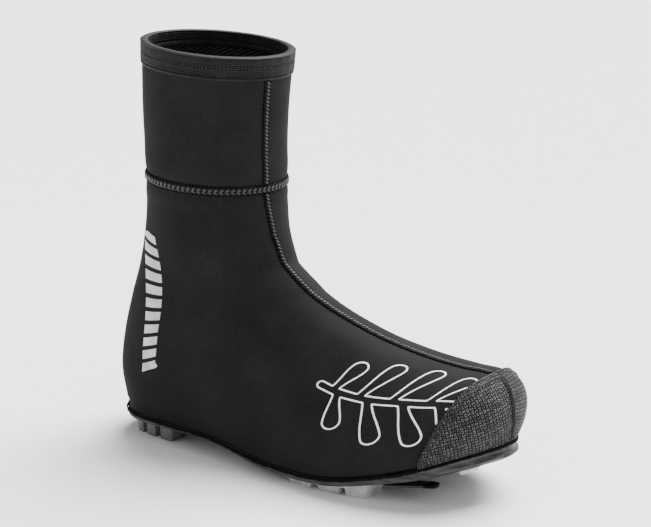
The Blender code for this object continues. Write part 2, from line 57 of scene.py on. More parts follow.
def shaft(share):
    """Height on the shaft: 0 at the crook of the instep, 1 at the back of the collar."""
    return INSTEP_HEIGHT + share * (COLLAR_HEIGHT - INSTEP_HEIGHT)


def toe(share):
    """Height on the toe: 0 at its lower edge, 1 at its top."""
    return EDGE_HEIGHT + TOE_SPRING + share * TOE_HEIGHT


def instep(share):
    """Height on the ridge of the foot: 0 at the top of the toe, 1 at the crook."""
    return toe(1) + share * (INSTEP_HEIGHT - toe(1))


def edge(share):
    """Height of the lower edge of the upper: 0 at the ball, 1 at the tip of the toe."""
    return EDGE_HEIGHT + share * TOE_SPRING


MID_DEPTH, MID_WIDTH = (COLLAR_DEPTH + ANKLE_DEPTH) / 2, (COLLAR_WIDTH + ANKLE_WIDTH) / 2
COLLAR_X, CUFF_X, ANKLE_X = 0.259 * LENGTH, 0.249 * LENGTH, 0.250 * LENGTH
COLUMNS = (
    "ridge_x", "ridge_z", "low_x", "low_z", "width",
    "widest", "outer_edge", "inner_edge", "crown", "side", "swing", "band",
)
SECTIONS = (
    (COLLAR_X + COLLAR_DEPTH / 2, shaft(0.94), COLLAR_X - COLLAR_DEPTH / 2, shaft(1.0), COLLAR_WIDTH,
     0.50, 0, 0, 2.0, 2.0, 0, 0.90),
    (CUFF_X + MID_DEPTH / 2, shaft(0.64), CUFF_X - MID_DEPTH / 2, shaft(0.67), MID_WIDTH,
     0.50, 0, 0, 2.0, 2.0, 0, 0.90),
    (ANKLE_X + ANKLE_DEPTH / 2, shaft(0.32), ANKLE_X - ANKLE_DEPTH / 2, shaft(0.35), ANKLE_WIDTH,
     0.50, 0, 0, 2.0, 2.0, 0, 0.90),
    (0.418 * LENGTH, shaft(0.20), 0.083 * LENGTH, shaft(0.12), 1.03 * HEEL_WIDTH,
     0.50, 0, 0, 2.0, 2.1, 0, 0.90),
    (0.426 * LENGTH, shaft(0.12), 0.062 * LENGTH, 0.89 * INSTEP_HEIGHT, HEEL_WIDTH,
     0.50, 0, 0, 2.0, 2.2, 0, 0.90),
    (0.434 * LENGTH, shaft(0.066), 0.032 * LENGTH, 0.69 * INSTEP_HEIGHT, HEEL_WIDTH,
     0.48, 0, 0, 2.0, 2.3, 0, 0.90),
    (0.441 * LENGTH, shaft(0.032), 0.008 * LENGTH, 0.48 * INSTEP_HEIGHT, HEEL_WIDTH,
     0.46, 0, 0, 2.0, 2.5, 0, 0.90),
    (0.448 * LENGTH, shaft(0), 0, 0.285 * INSTEP_HEIGHT, HEEL_WIDTH,
     0.46, 0, 0, 2.0, 2.7, 0, 0.90),
    (0.457 * LENGTH, instep(0.92), 0.017 * LENGTH, edge(0.16), HEEL_WIDTH,
     0.48, 0, 0, 2.0, 2.8, 0, 0.90),
    (0.477 * LENGTH, instep(0.84), 0.037 * LENGTH, edge(0.17), 1.01 * HEEL_WIDTH,
     0.52, 0.26 * HEEL_WIDTH, 0.26 * HEEL_WIDTH, 2.0, 2.8, 0, 0.90),
    (0.505 * LENGTH, instep(0.735), 0.095 * LENGTH, edge(0.17), 1.025 * HEEL_WIDTH,
     0.58, 0.43 * HEEL_WIDTH, 0.42 * HEEL_WIDTH, 2.0, 2.8, 0, 0.90),
    (0.539 * LENGTH, instep(0.60), 0.197 * LENGTH, edge(0.17), 1.055 * HEEL_WIDTH,
     0.64, 0.48 * HEEL_WIDTH, 0.45 * HEEL_WIDTH, 2.0, 2.6, 0, 0.80),
    (0.602 * LENGTH, instep(0.43), 0.339 * LENGTH, edge(0.13), 0.83 * BALL_WIDTH,
     0.70, 0.385 * BALL_WIDTH, 0.32 * BALL_WIDTH, 2.0, 2.5, 0.08 * TOE_SWING, 0.65),
    (0.697 * LENGTH, instep(0.24), 0.502 * LENGTH, edge(-0.05), 0.915 * BALL_WIDTH,
     0.78, 0.445 * BALL_WIDTH, 0.39 * BALL_WIDTH, 2.1, 2.4, 0.17 * TOE_SWING, 0.85),
    (0.797 * LENGTH, instep(0.105), 0.658 * LENGTH, edge(-0.02), BALL_WIDTH,
     0.86, 0.485 * BALL_WIDTH, 0.455 * BALL_WIDTH, 2.2, 2.4, 0.36 * TOE_SWING, 1.0),
    (0.885 * LENGTH, instep(0.035), 0.780 * LENGTH, edge(0.23), 0.955 * BALL_WIDTH,
     0.86, 0.45 * BALL_WIDTH, 0.44 * BALL_WIDTH, 2.3, 2.4, 0.60 * TOE_SWING, 1.15),
    (0.950 * LENGTH, toe(1), 0.872 * LENGTH, edge(0.52), 0.825 * BALL_WIDTH,
     0.84, 0.38 * BALL_WIDTH, 0.38 * BALL_WIDTH, 2.3, 2.4, 0.88 * TOE_SWING, 1.55),
    (0.990 * LENGTH, toe(0.78), 0.929 * LENGTH, edge(0.74), 0.64 * BALL_WIDTH,
     0.82, 0.285 * BALL_WIDTH, 0.29 * BALL_WIDTH, 2.2, 2.4, TOE_SWING, 1.75),
    (1.003 * LENGTH, toe(0.38), 0.970 * LENGTH, edge(0.89), 0.355 * BALL_WIDTH,
     0.80, 0.165 * BALL_WIDTH, 0.168 * BALL_WIDTH, 2.1, 2.4, TOE_SWING, 1.80),
    (0.996 * LENGTH, toe(0), 0.996 * LENGTH, edge(1), 0,
     0.80, 0, 0, 2.0, 2.4, TOE_SWING, 1.80),
)
# Where the front seam and the rear edge of the toe cap run, by section number
SEAM_ROWS = (0, 2, 5, 8, 10, 12, 14, 19)
SEAM_SHIFT = (-0.062, -0.054, -0.030, -0.024, -0.034, -0.030, -0.010, 0.0)
CAP_SHARES = (-1.0, -0.6, -0.25, 0.0, 0.25, 0.6, 1.0)
CAP_ROWS = (15.88, 15.92, 15.96, 16.04, 15.96, 15.92, 15.88)
# Folds of the neoprene: middle, reach along and across, how far the line leans, and depth
FOLD_COLUMNS = ("t", "f", "along", "across", "lean", "depth")
FOLDS = (
    (3.1, -0.30, 1.0, 0.26, 0.02, 0.0007),
    (5.0, -0.10, 1.1, 0.06, -0.05, -0.0007),
    (6.9, -0.42, 0.9, 0.15, -0.10, 0.0008),
    (8.7, -0.30, 1.2, 0.10, -0.05, -0.0010),
    (10.4, -0.38, 1.3, 0.10, -0.03, 0.0008),
    (12.0, -0.55, 1.2, 0.14, -0.02, -0.0008),
    (12.6, -0.16, 0.9, 0.07, -0.02, 0.0006),
    (4.8, 0.28, 1.2, 0.10, 0.04, -0.0008),
    (7.6, 0.42, 1.0, 0.14, 0.08, 0.0009),
    (10.0, 0.34, 1.3, 0.12, 0.03, -0.0009),
    (12.4, 0.48, 1.2, 0.14, 0.02, 0.0008),
    (3.0, 0.72, 0.9, 0.20, 0.02, 0.0006),
    (1.1, -0.62, 0.6, 0.22, 0.05, -0.0005),
    (0.9, 0.45, 0.6, 0.20, -0.05, -0.0005),
)


def hermite(values, t, first=None, last=None):
    """A smooth curve through one value a section, with its end slopes given where they matter."""
    slopes = np.gradient(values)
    slopes[0] = slopes[0] if first is None else first
    slopes[-1] = slopes[-1] if last is None else last
    k = np.clip(np.floor(t).astype(int), 0, len(values) - 2)
    u = t - k
    rise = values[k + 1] - values[k]
    return (values[k] + rise * (3 * u**2 - 2 * u**3)
            + slopes[k] * (u**3 - 2 * u**2 + u) + slopes[k + 1] * (u**3 - u**2))


def section_at(t):
    """Every column of the table at the section numbers t, which may lie between two rows."""
    got = {}
    for name, values in zip(COLUMNS, np.array(SECTIONS, float).T):
        flat_end = name in ("ridge_x", "low_x", "widest", "crown", "side", "swing", "band")
        last = 0.0 if flat_end else values[-1] - values[-2]
        if name in ("low_x", "low_z", "outer_edge", "inner_edge"):
            leg = hermite(values[: HEEL_END + 1], np.clip(t, 0, HEEL_END))
            first = 0.0 if name.startswith("low") else values[HEEL_END + 1]
            foot = hermite(values[HEEL_END:], np.clip(t, HEEL_END, None) - HEEL_END, first, last)
            got[name] = np.where(t < HEEL_END, leg, foot)
        else:
            got[name] = hermite(values, t, None, last)
    return got


def skin(t, f):
    """Points on the outer face of the upper and each section's half girth.

    t is the section number, and f runs across it from -1 at the outer edge to 1 at the inner.
    """
    row = {name: values[:, None] for name, values in section_at(t).items()}
    half = np.maximum(row["width"] / 2, 1e-6)
    toward = np.where(f < 0, row["outer_edge"].T, row["inner_edge"].T).reshape(-1, 1)
    toward = np.clip(toward, 0, half)
    q = np.linspace(0, np.pi / 2, 72)[None, :]
    sin, cos = np.clip(np.sin(q), 0, 1), np.clip(np.cos(q), 0, 1)
    over, under, widest = 2 / row["crown"], row["side"], row["widest"]
    y = np.hstack([
        half * sin**over,
        ((half * cos[:, 1:] ** (2 / under)) ** under + (toward * sin[:, 1:] ** (2 / under)) ** under)
        ** (1 / under),
    ])
    s = np.hstack([widest * (1 - cos**over), widest + (1 - widest) * sin[:, 1:] ** (2 / under)])
    reach_x, reach_z = row["low_x"] - row["ridge_x"], row["low_z"] - row["ridge_z"]
    steps = np.hypot(np.diff(y), np.diff(s) * np.hypot(reach_x, reach_z))
    run = np.hstack([np.zeros((len(t), 1)), np.cumsum(steps, 1)])
    girth = run[:, -1]
    goal = np.abs(f) * girth
    k = np.clip((run < goal[:, None]).sum(1), 1, run.shape[1] - 1)
    each = np.arange(len(t))
    before = run[each, k - 1]
    u = (goal - before) / np.maximum(run[each, k] - before, 1e-12)
    y_at = y[each, k - 1] + u * (y[each, k] - y[each, k - 1])
    s_at = s[each, k - 1] + u * (s[each, k] - s[each, k - 1])
    points = np.stack([
        row["ridge_x"][:, 0] + s_at * reach_x[:, 0],
        np.sign(f) * y_at + row["swing"][:, 0],
        row["ridge_z"][:, 0] + s_at * reach_z[:, 0],
    ], 1)
    return points, girth


def girth_at(t):
    """Each section's half girth, for section numbers in an array of any shape."""
    return skin(t.ravel(), np.zeros(t.size))[1].reshape(t.shape)


def run_along(points):
    """Length from the first of a row of points to each of them."""
    return np.concatenate([(0,), np.cumsum(np.linalg.norm(np.diff(points, axis=0), axis=1))])


def unit(vectors):
    """The same directions with a length of one."""
    return vectors / np.maximum(np.linalg.norm(vectors, axis=-1, keepdims=True), 1e-12)


def outward(t, f):
    """The skin's outward direction, evened out where the ends of a ring meet and at the toe's tip."""
    f = np.where(t > TOE_END - 0.02, 0.0, f)
    t = np.clip(t, 0, TOE_END - 0.04)
    along = skin(np.clip(t + 0.03, 0, TOE_END), f)[0] - skin(np.clip(t - 0.03, 0, TOE_END), f)[0]
    across = skin(t, np.clip(f + 0.012, -1, 1))[0] - skin(t, np.clip(f - 0.012, -1, 1))[0]
    normal = unit(np.cross(unit(along), unit(across)))
    normal[(t <= HEEL_END) & (np.abs(f) > 0.999), 1] = 0
    return unit(normal)


def relief(t, f):
    """How far the neoprene swells out of its plain form, in soft folds and beside the ankle seam."""
    swell = -0.0006 * np.exp(-(((t - ANKLE_ROW) / 0.10) ** 2))
    swell += 0.0004 * np.exp(-(((np.abs(t - ANKLE_ROW) - 0.30) / 0.15) ** 2))
    for values in FOLDS:
        fold = dict(zip(FOLD_COLUMNS, values))
        dt = t - fold["t"]
        df = f - fold["f"] - fold["lean"] * dt
        swell += fold["depth"] * np.exp(-((dt / fold["along"]) ** 2) - (df / fold["across"]) ** 2)
    calm = np.clip(t / 0.5, 0, 1) * np.clip((1 - np.abs(f)) / 0.18, 0, 1) * np.clip((15.6 - t) / 1.2, 0, 1)
    around = np.clip(t / 0.5, 0, 1)
    return swell * np.where(t < HEEL_END - 1, around, calm)


def on_skin(t, f, out):
    """Points at the distance out beyond the folded neoprene, over grids of one shape."""
    t, f, out = (a.astype(float) for a in np.broadcast_arrays(t, f, out))
    lift = (relief(t, f) + out).reshape(-1, 1)
    points = skin(t.ravel(), f.ravel())[0] + outward(t.ravel(), f.ravel()) * lift
    return PLACE + points.reshape(*t.shape, 3)


def numbering(rows, columns, closed_rows=0, last_pole=False):
    """Point numbers of a grid whose first closed_rows rows are rings and whose end may be a pole."""
    ids = np.arange(rows * columns).reshape(rows, columns)
    ids[:closed_rows, -1] = ids[:closed_rows, 0]
    if last_pole:
        ids[-1, :] = ids[-1, 0]
    return np.unique(ids, return_inverse=True)[1].reshape(rows, columns)


def facing(points, ids):
    """Outward direction at each point of a grid, evened out over the faces that meet there."""
    areas = np.cross(points[1:, 1:] - points[:-1, :-1], points[:-1, 1:] - points[1:, :-1])
    total = np.zeros((ids.max() + 1, 3))
    for corner in (ids[:-1, :-1], ids[1:, :-1], ids[1:, 1:], ids[:-1, 1:]):
        np.add.at(total, corner.ravel(), areas.reshape(-1, 3))
    return unit(total)[ids]


def added(name, data):
    """A new object with some data, linked to the scene."""
    made = bpy.data.objects.new(name, data)
    bpy.context.collection.objects.link(made)
    return made


def shell(name, high, low, ids, chart, materials):
    """One closed body between two grids, with the chart of high as its UV map.

    The first material covers high and the border walls, and the last one covers low.
    """
    count = int(ids.max()) + 1
    points = np.zeros((2 * count, 3))
    points[ids.ravel()] = high.reshape(-1, 3)
    points[count + ids.ravel()] = low.reshape(-1, 3)
    spots = np.arange(ids.size).reshape(ids.shape)
    spot_of = np.zeros(count, int)
    spot_of[ids.ravel()] = spots.ravel()
    top, maps = [], []
    for grid, got in ((ids, top), (spots, maps)):
        corners = np.stack([grid[:-1, :-1], grid[1:, :-1], grid[1:, 1:], grid[:-1, 1:]], -1)
        got.extend(corners.reshape(-1, 4).tolist())
    kept = [[k for k in range(4) if face[k] != face[k - 1]] for face in top]
    maps = [[spot[k] for k in keep] for spot, keep in zip(maps, kept) if len(keep) > 2]
    top = [[face[k] for k in keep] for face, keep in zip(top, kept) if len(keep) > 2]
    edges = {(a, b) for face in top for a, b in zip(face, face[1:] + face[:1])}
    walls = sorted((b, a, a + count, b + count) for a, b in edges if (b, a) not in edges)
    under = [[c + count for c in reversed(face)] for face in top]
    maps += [list(reversed(spot)) for spot in maps]
    maps += [[int(spot_of[c % count]) for c in wall] for wall in walls]
    mesh = bpy.data.meshes.new(name)
    mesh.from_pydata(points.tolist(), [], top + under + walls)
    layer = mesh.uv_layers.new(name="chart")
    layer.data.foreach_set("uv", chart.reshape(-1, 2)[np.concatenate(maps)].ravel())
    for material in materials:
        mesh.materials.append(material)
    slots = np.zeros(len(mesh.polygons), np.int32)
    slots[len(top):len(top) + len(under)] = len(materials) - 1
    mesh.polygons.foreach_set("material_index", slots)
    mesh.shade_smooth()
    mesh.set_sharp_from_angle(angle=np.radians(50))
    return added(name, mesh)


def node(tree, kind, values=None, **settings):
    """A node of a tree, its settings and the plain values of its inputs."""
    made = tree.nodes.new(kind)
    for name, value in settings.items():
        setattr(made, name, value)
    for name, value in (values or {}).items():
        made.inputs[name].default_value = value
    return made


def sum_up(tree, operation, first, second=None):
    """A Math node of one operation, fed by sockets or plain numbers."""
    made = node(tree, "ShaderNodeMath", operation=operation)
    for slot, value in enumerate((first, second)):
        if isinstance(value, bpy.types.NodeSocket):
            tree.links.new(value, made.inputs[slot])
        elif value is not None:
            made.inputs[slot].default_value = value
    return made.outputs[0]


def shader_group(name, inputs, outputs):
    """An empty shader node group with named sockets, and its ends."""
    group = bpy.data.node_groups.new(name, "ShaderNodeTree")
    for label, kind, value in inputs:
        socket = group.interface.new_socket(label, in_out="INPUT", socket_type=kind)
        socket.default_value = value
    for label, kind in outputs:
        group.interface.new_socket(label, in_out="OUTPUT", socket_type=kind)
    return group, group.nodes.new("NodeGroupInput"), group.nodes.new("NodeGroupOutput")


NUMBER, COLOUR, VECTOR = "NodeSocketFloat", "NodeSocketColor", "NodeSocketVector"


def nap_group():
    """Short brushed fibres over a fine knit: a mottled colour and a height."""
    group, ends, out = shader_group(
        "nap",
        (("Dark", COLOUR, (0.01, 0.01, 0.01, 1)), ("Light", COLOUR, (0.03, 0.03, 0.03, 1)),
         ("Fibre Scale", NUMBER, 1400.0), ("Patch Scale", NUMBER, 30.0)),
        (("Color", COLOUR), ("Height", NUMBER), ("Roughness", NUMBER)),
    )
    place = node(group, "ShaderNodeTexCoord")
    fibre = node(group, "ShaderNodeTexNoise", {"Detail": 3.0, "Roughness": 0.65})
    speckle = node(group, "ShaderNodeTexNoise", {"Scale": 420.0, "Detail": 2.0, "Roughness": 0.6})
    patch = node(group, "ShaderNodeTexNoise", {"Detail": 2.0, "Roughness": 0.5})
    for texture in (fibre, speckle, patch):
        group.links.new(place.outputs["Object"], texture.inputs["Vector"])
    group.links.new(ends.outputs["Fibre Scale"], fibre.inputs["Scale"])
    group.links.new(ends.outputs["Patch Scale"], patch.inputs["Scale"])
    fine = sum_up(group, "MULTIPLY", fibre.outputs["Fac"], 0.45)
    middle = sum_up(group, "MULTIPLY", speckle.outputs["Fac"], 0.30)
    broad = sum_up(group, "MULTIPLY", patch.outputs["Fac"], 0.35)
    total = sum_up(group, "ADD", sum_up(group, "ADD", fine, middle), broad)
    spread = node(group, "ShaderNodeMapRange", {"From Min": 0.40, "From Max": 0.72})
    group.links.new(total, spread.inputs["Value"])
    mix = node(group, "ShaderNodeMix", data_type="RGBA")
    group.links.new(spread.outputs["Result"], mix.inputs["Factor"])
    group.links.new(ends.outputs["Dark"], mix.inputs["A"])
    group.links.new(ends.outputs["Light"], mix.inputs["B"])
    group.links.new(mix.outputs["Result"], out.inputs["Color"])
    group.links.new(sum_up(group, "ADD", fine, middle), out.inputs["Height"])
    rough = node(
        group, "ShaderNodeMapRange", {"From Min": 0.3, "From Max": 0.7, "To Min": 0.78, "To Max": 0.92},
    )
    group.links.new(speckle.outputs["Fac"], rough.inputs["Value"])
    group.links.new(rough.outputs["Result"], out.inputs["Roughness"])
    return group


nap = nap_group()


def blank(name, **values):
    """A material with a plain shader, and the constants set on its own sockets."""
    material = bpy.data.materials.new(name)
    material.use_nodes = True
    shader = material.node_tree.nodes["Principled BSDF"]
    for label, value in values.items():
        shader.inputs[label.replace("_", " ")].default_value = value
    return material, material.node_tree, shader


def on_object(tree, kind, values):
    """A texture node laid over the object, in metres."""
    made = node(tree, kind, values)
    place = node(tree, "ShaderNodeTexCoord")
    tree.links.new(place.outputs["Object"], made.inputs["Vector"])
    return made


def colour_from(tree, shader, value, low, dark, high, light):
    """Base colour from a value: dark up to low, light from high on, and a blend between them."""
    ramp = node(tree, "ShaderNodeValToRGB")
    for stop, position, colour in zip(ramp.color_ramp.elements, (low, high), (dark, light)):
        stop.position = position
        stop.color = (*colour, 1)
    tree.links.new(value, ramp.inputs["Fac"])
    tree.links.new(ramp.outputs["Color"], shader.inputs["Base Color"])


def gloss_from(tree, shader, value, at_none, at_one):
    """Roughness from a value, between what it is at 0 and at 1."""
    gloss = node(tree, "ShaderNodeMapRange", {"To Min": at_none, "To Max": at_one})
    tree.links.new(value, gloss.inputs["Value"])
    tree.links.new(gloss.outputs["Result"], shader.inputs["Roughness"])


def bump_from(tree, shader, height, distance, strength=1.0):
    """Fine relief from a height, as deep as distance."""
    bump = node(tree, "ShaderNodeBump", {"Distance": distance, "Strength": strength})
    tree.links.new(height, bump.inputs["Height"])
    tree.links.new(bump.outputs["Normal"], shader.inputs["Normal"])


def napped(name, dark, light, depth, strength, fibre=1400.0, patch=30.0, **values):
    """A material of brushed nap between two colours, with its height as fine relief."""
    material, tree, shader = blank(name, **values)
    cover = node(
        tree, "ShaderNodeGroup",
        {"Dark": (*dark, 1), "Light": (*light, 1), "Fibre Scale": fibre, "Patch Scale": patch},
        node_tree=nap,
    )
    tree.links.new(cover.outputs["Color"], shader.inputs["Base Color"])
    if "Roughness" not in values:
        tree.links.new(cover.outputs["Roughness"], shader.inputs["Roughness"])
    bump_from(tree, shader, cover.outputs["Height"], depth, strength)
    return material


neoprene = napped(
    "neoprene", (0.0045, 0.0045, 0.0047), (0.0140, 0.0140, 0.0144), 0.00025, 0.7, Specular_IOR_Level=0.09,
)
fleece, tree, shader = blank("fleece", Specular_IOR_Level=0.1, Sheen_Weight=0.03, Roughness=0.95)
pile = node(
    tree, "ShaderNodeGroup",
    {"Dark": (0.002, 0.002, 0.002, 1), "Light": (0.060, 0.060, 0.062, 1)}, node_tree=nap,
)
chart = node(tree, "ShaderNodeUVMap", uv_map="chart")
turn = node(tree, "ShaderNodeMapping", {"Rotation": (0, 0, 0.45)})
rib = node(
    tree, "ShaderNodeTexWave", {"Scale": 13.0, "Distortion": 1.6, "Detail": 2.0, "Detail Scale": 2.0},
)
tree.links.new(chart.outputs["UV"], turn.inputs["Vector"])
tree.links.new(turn.outputs["Vector"], rib.inputs["Vector"])
shade = node(tree, "ShaderNodeMix", data_type="RGBA", blend_type="MULTIPLY")
shade.inputs["Factor"].default_value = 0.85
tree.links.new(pile.outputs["Color"], shade.inputs["A"])
tree.links.new(rib.outputs["Color"], shade.inputs["B"])
tree.links.new(shade.outputs["Result"], shader.inputs["Base Color"])
bump_from(tree, shader, rib.outputs["Fac"], 0.0012, 0.8)

# Rows at even steps of length down the leg and along the foot, and columns closer at the edges
fine = np.linspace(0, TOE_END, 760)
walk = np.array([skin(fine, np.full(len(fine), f))[0] for f in (-0.98, -0.5, 0.0, 0.5)])
walk = np.linalg.norm(np.diff(walk, axis=1), axis=2).max(0)
walk = np.concatenate([(0,), np.cumsum(walk)])
rows = np.unique(np.append(np.interp(np.linspace(0, walk[-1], 232), walk, fine), HEEL_END))
u = np.linspace(-1, 1, 141)
ACROSS = 0.68 * u + 0.32 * np.sin(np.pi / 2 * u)
t, f = np.meshgrid(rows, ACROSS, indexing="ij")
ids = numbering(*t.shape, closed_rows=int((rows <= HEEL_END).sum()), last_pole=True)
plain, girth = skin(t.ravel(), f.ravel())
plain = plain.reshape(*t.shape, 3)
face = PLACE + plain + facing(plain, ids) * relief(t, f)[..., None]
chart = np.stack([np.interp(t, fine, walk), f * girth.reshape(t.shape)], -1) / 0.1
upper = shell("upper_shell", face, face - WALL * facing(face, ids), ids, chart, (neoprene, fleece))
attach(upper, "root")
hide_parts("upper")

# Collar binding
# Ribbed elastic, sewn on flat with two rows of stitches, folded over the rim and caught again
# inside. A narrow hem strip of the same tape lies under its lower edge outside.
BINDING_HEIGHT, HEM_HEIGHT, BINDING_INSIDE, TAPE = 0.0112, 0.0028, 0.009, 0.0008
RIB_PITCH, RIB_RISE = 0.00122, 0.00042
# Where the row of stitches runs, as a share of the tape's height from the rim
BINDING_ROW = 0.54

elastic = napped(
    "elastic", (0.002, 0.002, 0.0022), (0.0125, 0.0125, 0.013), 0.0002, 0.8,
    fibre=1800.0, patch=60.0, Specular_IOR_Level=0.15, Roughness=0.6,
)

around = np.linspace(-1, 1, 221)[:-1]
rim = skin(np.zeros(220), around)[0]
normal = outward(np.zeros(220), around)
down = unit(skin(np.full(220, 0.1), around)[0] - rim)


def ribbed(drop, out, side):
    """One side of the tape: its drop from the rim and its distance out, with rounded ribs."""
    wave = np.abs(np.cos(np.pi * drop / RIB_PITCH)) ** 0.6
    stitched = np.exp(-(((drop - BINDING_ROW * BINDING_HEIGHT) / 0.0006) ** 2))
    return np.stack([out + side * (RIB_RISE * wave - 0.0005 * stitched), drop], 1)


bottom = BINDING_HEIGHT + HEM_HEIGHT
hem_out = CLEARANCE + 0.7 * TAPE
inner_face = -WALL - CLEARANCE
turn = np.radians(np.linspace(0, 180, 13))
middle = (CLEARANCE + TAPE + inner_face - TAPE) / 2
bow = (2 * TAPE + CLEARANCE - inner_face) / 2
profile = np.concatenate([
    [(CLEARANCE, bottom), (hem_out - 0.0002, bottom), (hem_out, bottom - 0.0002)],
    [(hem_out + 0.0001, bottom - 0.0007), (hem_out, bottom - 0.0013), (hem_out - 0.0002, bottom - 0.0017)],
    [(CLEARANCE + 0.0001, bottom - 0.0018), (CLEARANCE + 0.0001, BINDING_HEIGHT)],
    ribbed(np.linspace(BINDING_HEIGHT, 0.0006, 64), CLEARANCE + TAPE - RIB_RISE, 1),
    np.stack([
        middle + bow * np.cos(turn) * (1 + 0.03 * np.cos(9 * turn)),
        -CLEARANCE - TAPE * np.sin(turn),
    ], 1),
    ribbed(np.linspace(0.0006, BINDING_INSIDE, 40), inner_face - TAPE + RIB_RISE, -1),
    [(inner_face, BINDING_INSIDE), (inner_face, -CLEARANCE), (CLEARANCE, -CLEARANCE)],
])


def ring_band(name, loops, material):
    """A closed band round a ring, from one loop of points for each corner of its profile."""
    turns, corners = len(loops[0]), len(loops)
    here = np.arange(turns)
    ahead = (here + 1) % turns
    quads = [
        np.stack([i * turns + here, i * turns + ahead, j * turns + ahead, j * turns + here], 1)
        for i, j in ((i, (i + 1) % corners) for i in range(corners))
    ]
    mesh = bpy.data.meshes.new(name)
    mesh.from_pydata(np.concatenate(loops).tolist(), [], np.concatenate(quads).tolist())
    mesh.materials.append(material)
    mesh.shade_smooth()
    mesh.set_sharp_from_angle(angle=np.radians(60))
    return added(name, mesh)


waver = 0.00012 * np.sin(around * 37) + 0.00009 * np.sin(around * 91 + 1)
loops = [PLACE + rim + (out + waver[:, None]) * normal + drop * down for out, drop in profile]
binding = ring_band("binding", loops, elastic)
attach(binding, "root")
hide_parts("collar_binding")

# Stitches
# Short loops of black sewing thread. Every row of them is made by one tree of nodes, which sets a
# thread on each point of a path, along its aim and standing on the cloth.


def thread_material(name, grey, blue, roughness, specular):
    """Twisted thread: one grey with its own blue."""
    material, tree, shader = blank(
        name, Base_Color=(grey, grey, blue, 1), Roughness=roughness, Specular_IOR_Level=specular,
    )
    twist = on_object(tree, "ShaderNodeTexNoise", {"Scale": 2600.0, "Detail": 1.0})
    bump_from(tree, shader, twist.outputs["Fac"], 0.00015, 0.6)
    return material


thread = thread_material("thread", 0.0075, 0.0078, 0.42, 0.25)
# The grey thread paints the highlight that the black thread catches, and the wound thread is a little lighter
# than plain thread as a painted highlight along its strands.
highlight_thread = thread_material("thread_painted_highlight", 0.040, 0.041, 0.4, 0.4)
wound_thread = thread_material("wound_thread", 0.016, 0.0165, 0.38, 0.35)
# Needle holes: near-black beads with no gloss, painted shade for the hollow where each stitch goes through, a
# little darker or lighter at random.
pit, tree, shader = blank("needle_hole_shade", Roughness=1.0, Specular_IOR_Level=0.0)
depth = on_object(tree, "ShaderNodeTexNoise", {"Scale": 1500.0})
colour_from(tree, shader, depth.outputs["Fac"], 0, (0.0002, 0.0002, 0.0002), 1, (0.0016, 0.0016, 0.0016))

sewing = bpy.data.node_groups.new("sewing", "GeometryNodeTree")
sewing.interface.new_socket("Path", in_out="INPUT", socket_type="NodeSocketGeometry")
for label in ("Length", "Width", "Height"):
    sewing.interface.new_socket(label, in_out="INPUT", socket_type=NUMBER)
sewing.interface.new_socket("Thread", in_out="INPUT", socket_type="NodeSocketMaterial")
sewing.interface.new_socket("Stitches", in_out="OUTPUT", socket_type="NodeSocketGeometry")
ends = sewing.nodes.new("NodeGroupInput")
out = sewing.nodes.new("NodeGroupOutput")
bead = node(sewing, "GeometryNodeMeshUVSphere", {"Segments": 6, "Rings": 4, "Radius": 0.5})
shape = node(sewing, "ShaderNodeCombineXYZ")
sized = node(sewing, "GeometryNodeTransform")
aim = node(sewing, "GeometryNodeInputNamedAttribute", {"Name": "aim"}, data_type="FLOAT_VECTOR")
up = node(sewing, "GeometryNodeInputNamedAttribute", {"Name": "up"}, data_type="FLOAT_VECTOR")
turn_to = node(sewing, "FunctionNodeAxesToRotation", primary_axis="X", secondary_axis="Z")
setting = node(sewing, "GeometryNodeInstanceOnPoints")
real = node(sewing, "GeometryNodeRealizeInstances")
smooth = node(sewing, "GeometryNodeSetShadeSmooth")
coated = node(sewing, "GeometryNodeSetMaterial")
for source, target in (
    (ends.outputs["Length"], shape.inputs["X"]),
    (ends.outputs["Width"], shape.inputs["Y"]),
    (ends.outputs["Height"], shape.inputs["Z"]),
    (bead.outputs["Mesh"], sized.inputs["Geometry"]),
    (shape.outputs["Vector"], sized.inputs["Scale"]),
    (ends.outputs["Path"], setting.inputs["Points"]),
    (sized.outputs["Geometry"], setting.inputs["Instance"]),
    (aim.outputs["Attribute"], turn_to.inputs["Primary Axis"]),
    (up.outputs["Attribute"], turn_to.inputs["Secondary Axis"]),
    (turn_to.outputs["Rotation"], setting.inputs["Rotation"]),
    (setting.outputs["Instances"], real.inputs["Geometry"]),
    (real.outputs["Geometry"], smooth.inputs["Geometry"]),
    (smooth.outputs["Geometry"], coated.inputs["Geometry"]),
    (ends.outputs["Thread"], coated.inputs["Material"]),
    (coated.outputs["Geometry"], out.inputs["Stitches"]),
):
    sewing.links.new(source, target)


def sewn(name, points, aims, ups, length, width, height, material, slot):
    """A row of stitches, one on each point, as a plain mesh that rides on the body."""
    mesh = bpy.data.meshes.new(name)
    mesh.from_pydata(points.reshape(-1, 3).tolist(), [], [])
    for label, vectors in (("aim", aims), ("up", ups)):
        layer = mesh.attributes.new(label, "FLOAT_VECTOR", "POINT")
        layer.data.foreach_set("vector", unit(vectors).reshape(-1).astype(np.float32))
    row = added(name + "_path", mesh)
    modifier = row.modifiers.new("sewing", "NODES")
    modifier.node_group = sewing
    sockets = {item.name: item.identifier for item in sewing.interface.items_tree if item.in_out == "INPUT"}
    for label, value in (("Length", length), ("Width", width), ("Height", height), ("Thread", material)):
        modifier[sockets[label]] = value
    graph = bpy.context.evaluated_depsgraph_get()
    made = bpy.data.meshes.new_from_object(row.evaluated_get(graph))
    bpy.data.objects.remove(row)
    piece = added(name, made)
    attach(piece, "root")


def evenly(t, f, pitch):
    """Section numbers and shares at even steps of length along a path on the skin."""
    points = skin(t, f)[0]
    run = run_along(points)
    stops = np.arange(pitch / 2, run[-1], pitch)
    return np.interp(stops, run, t), np.interp(stops, run, f)


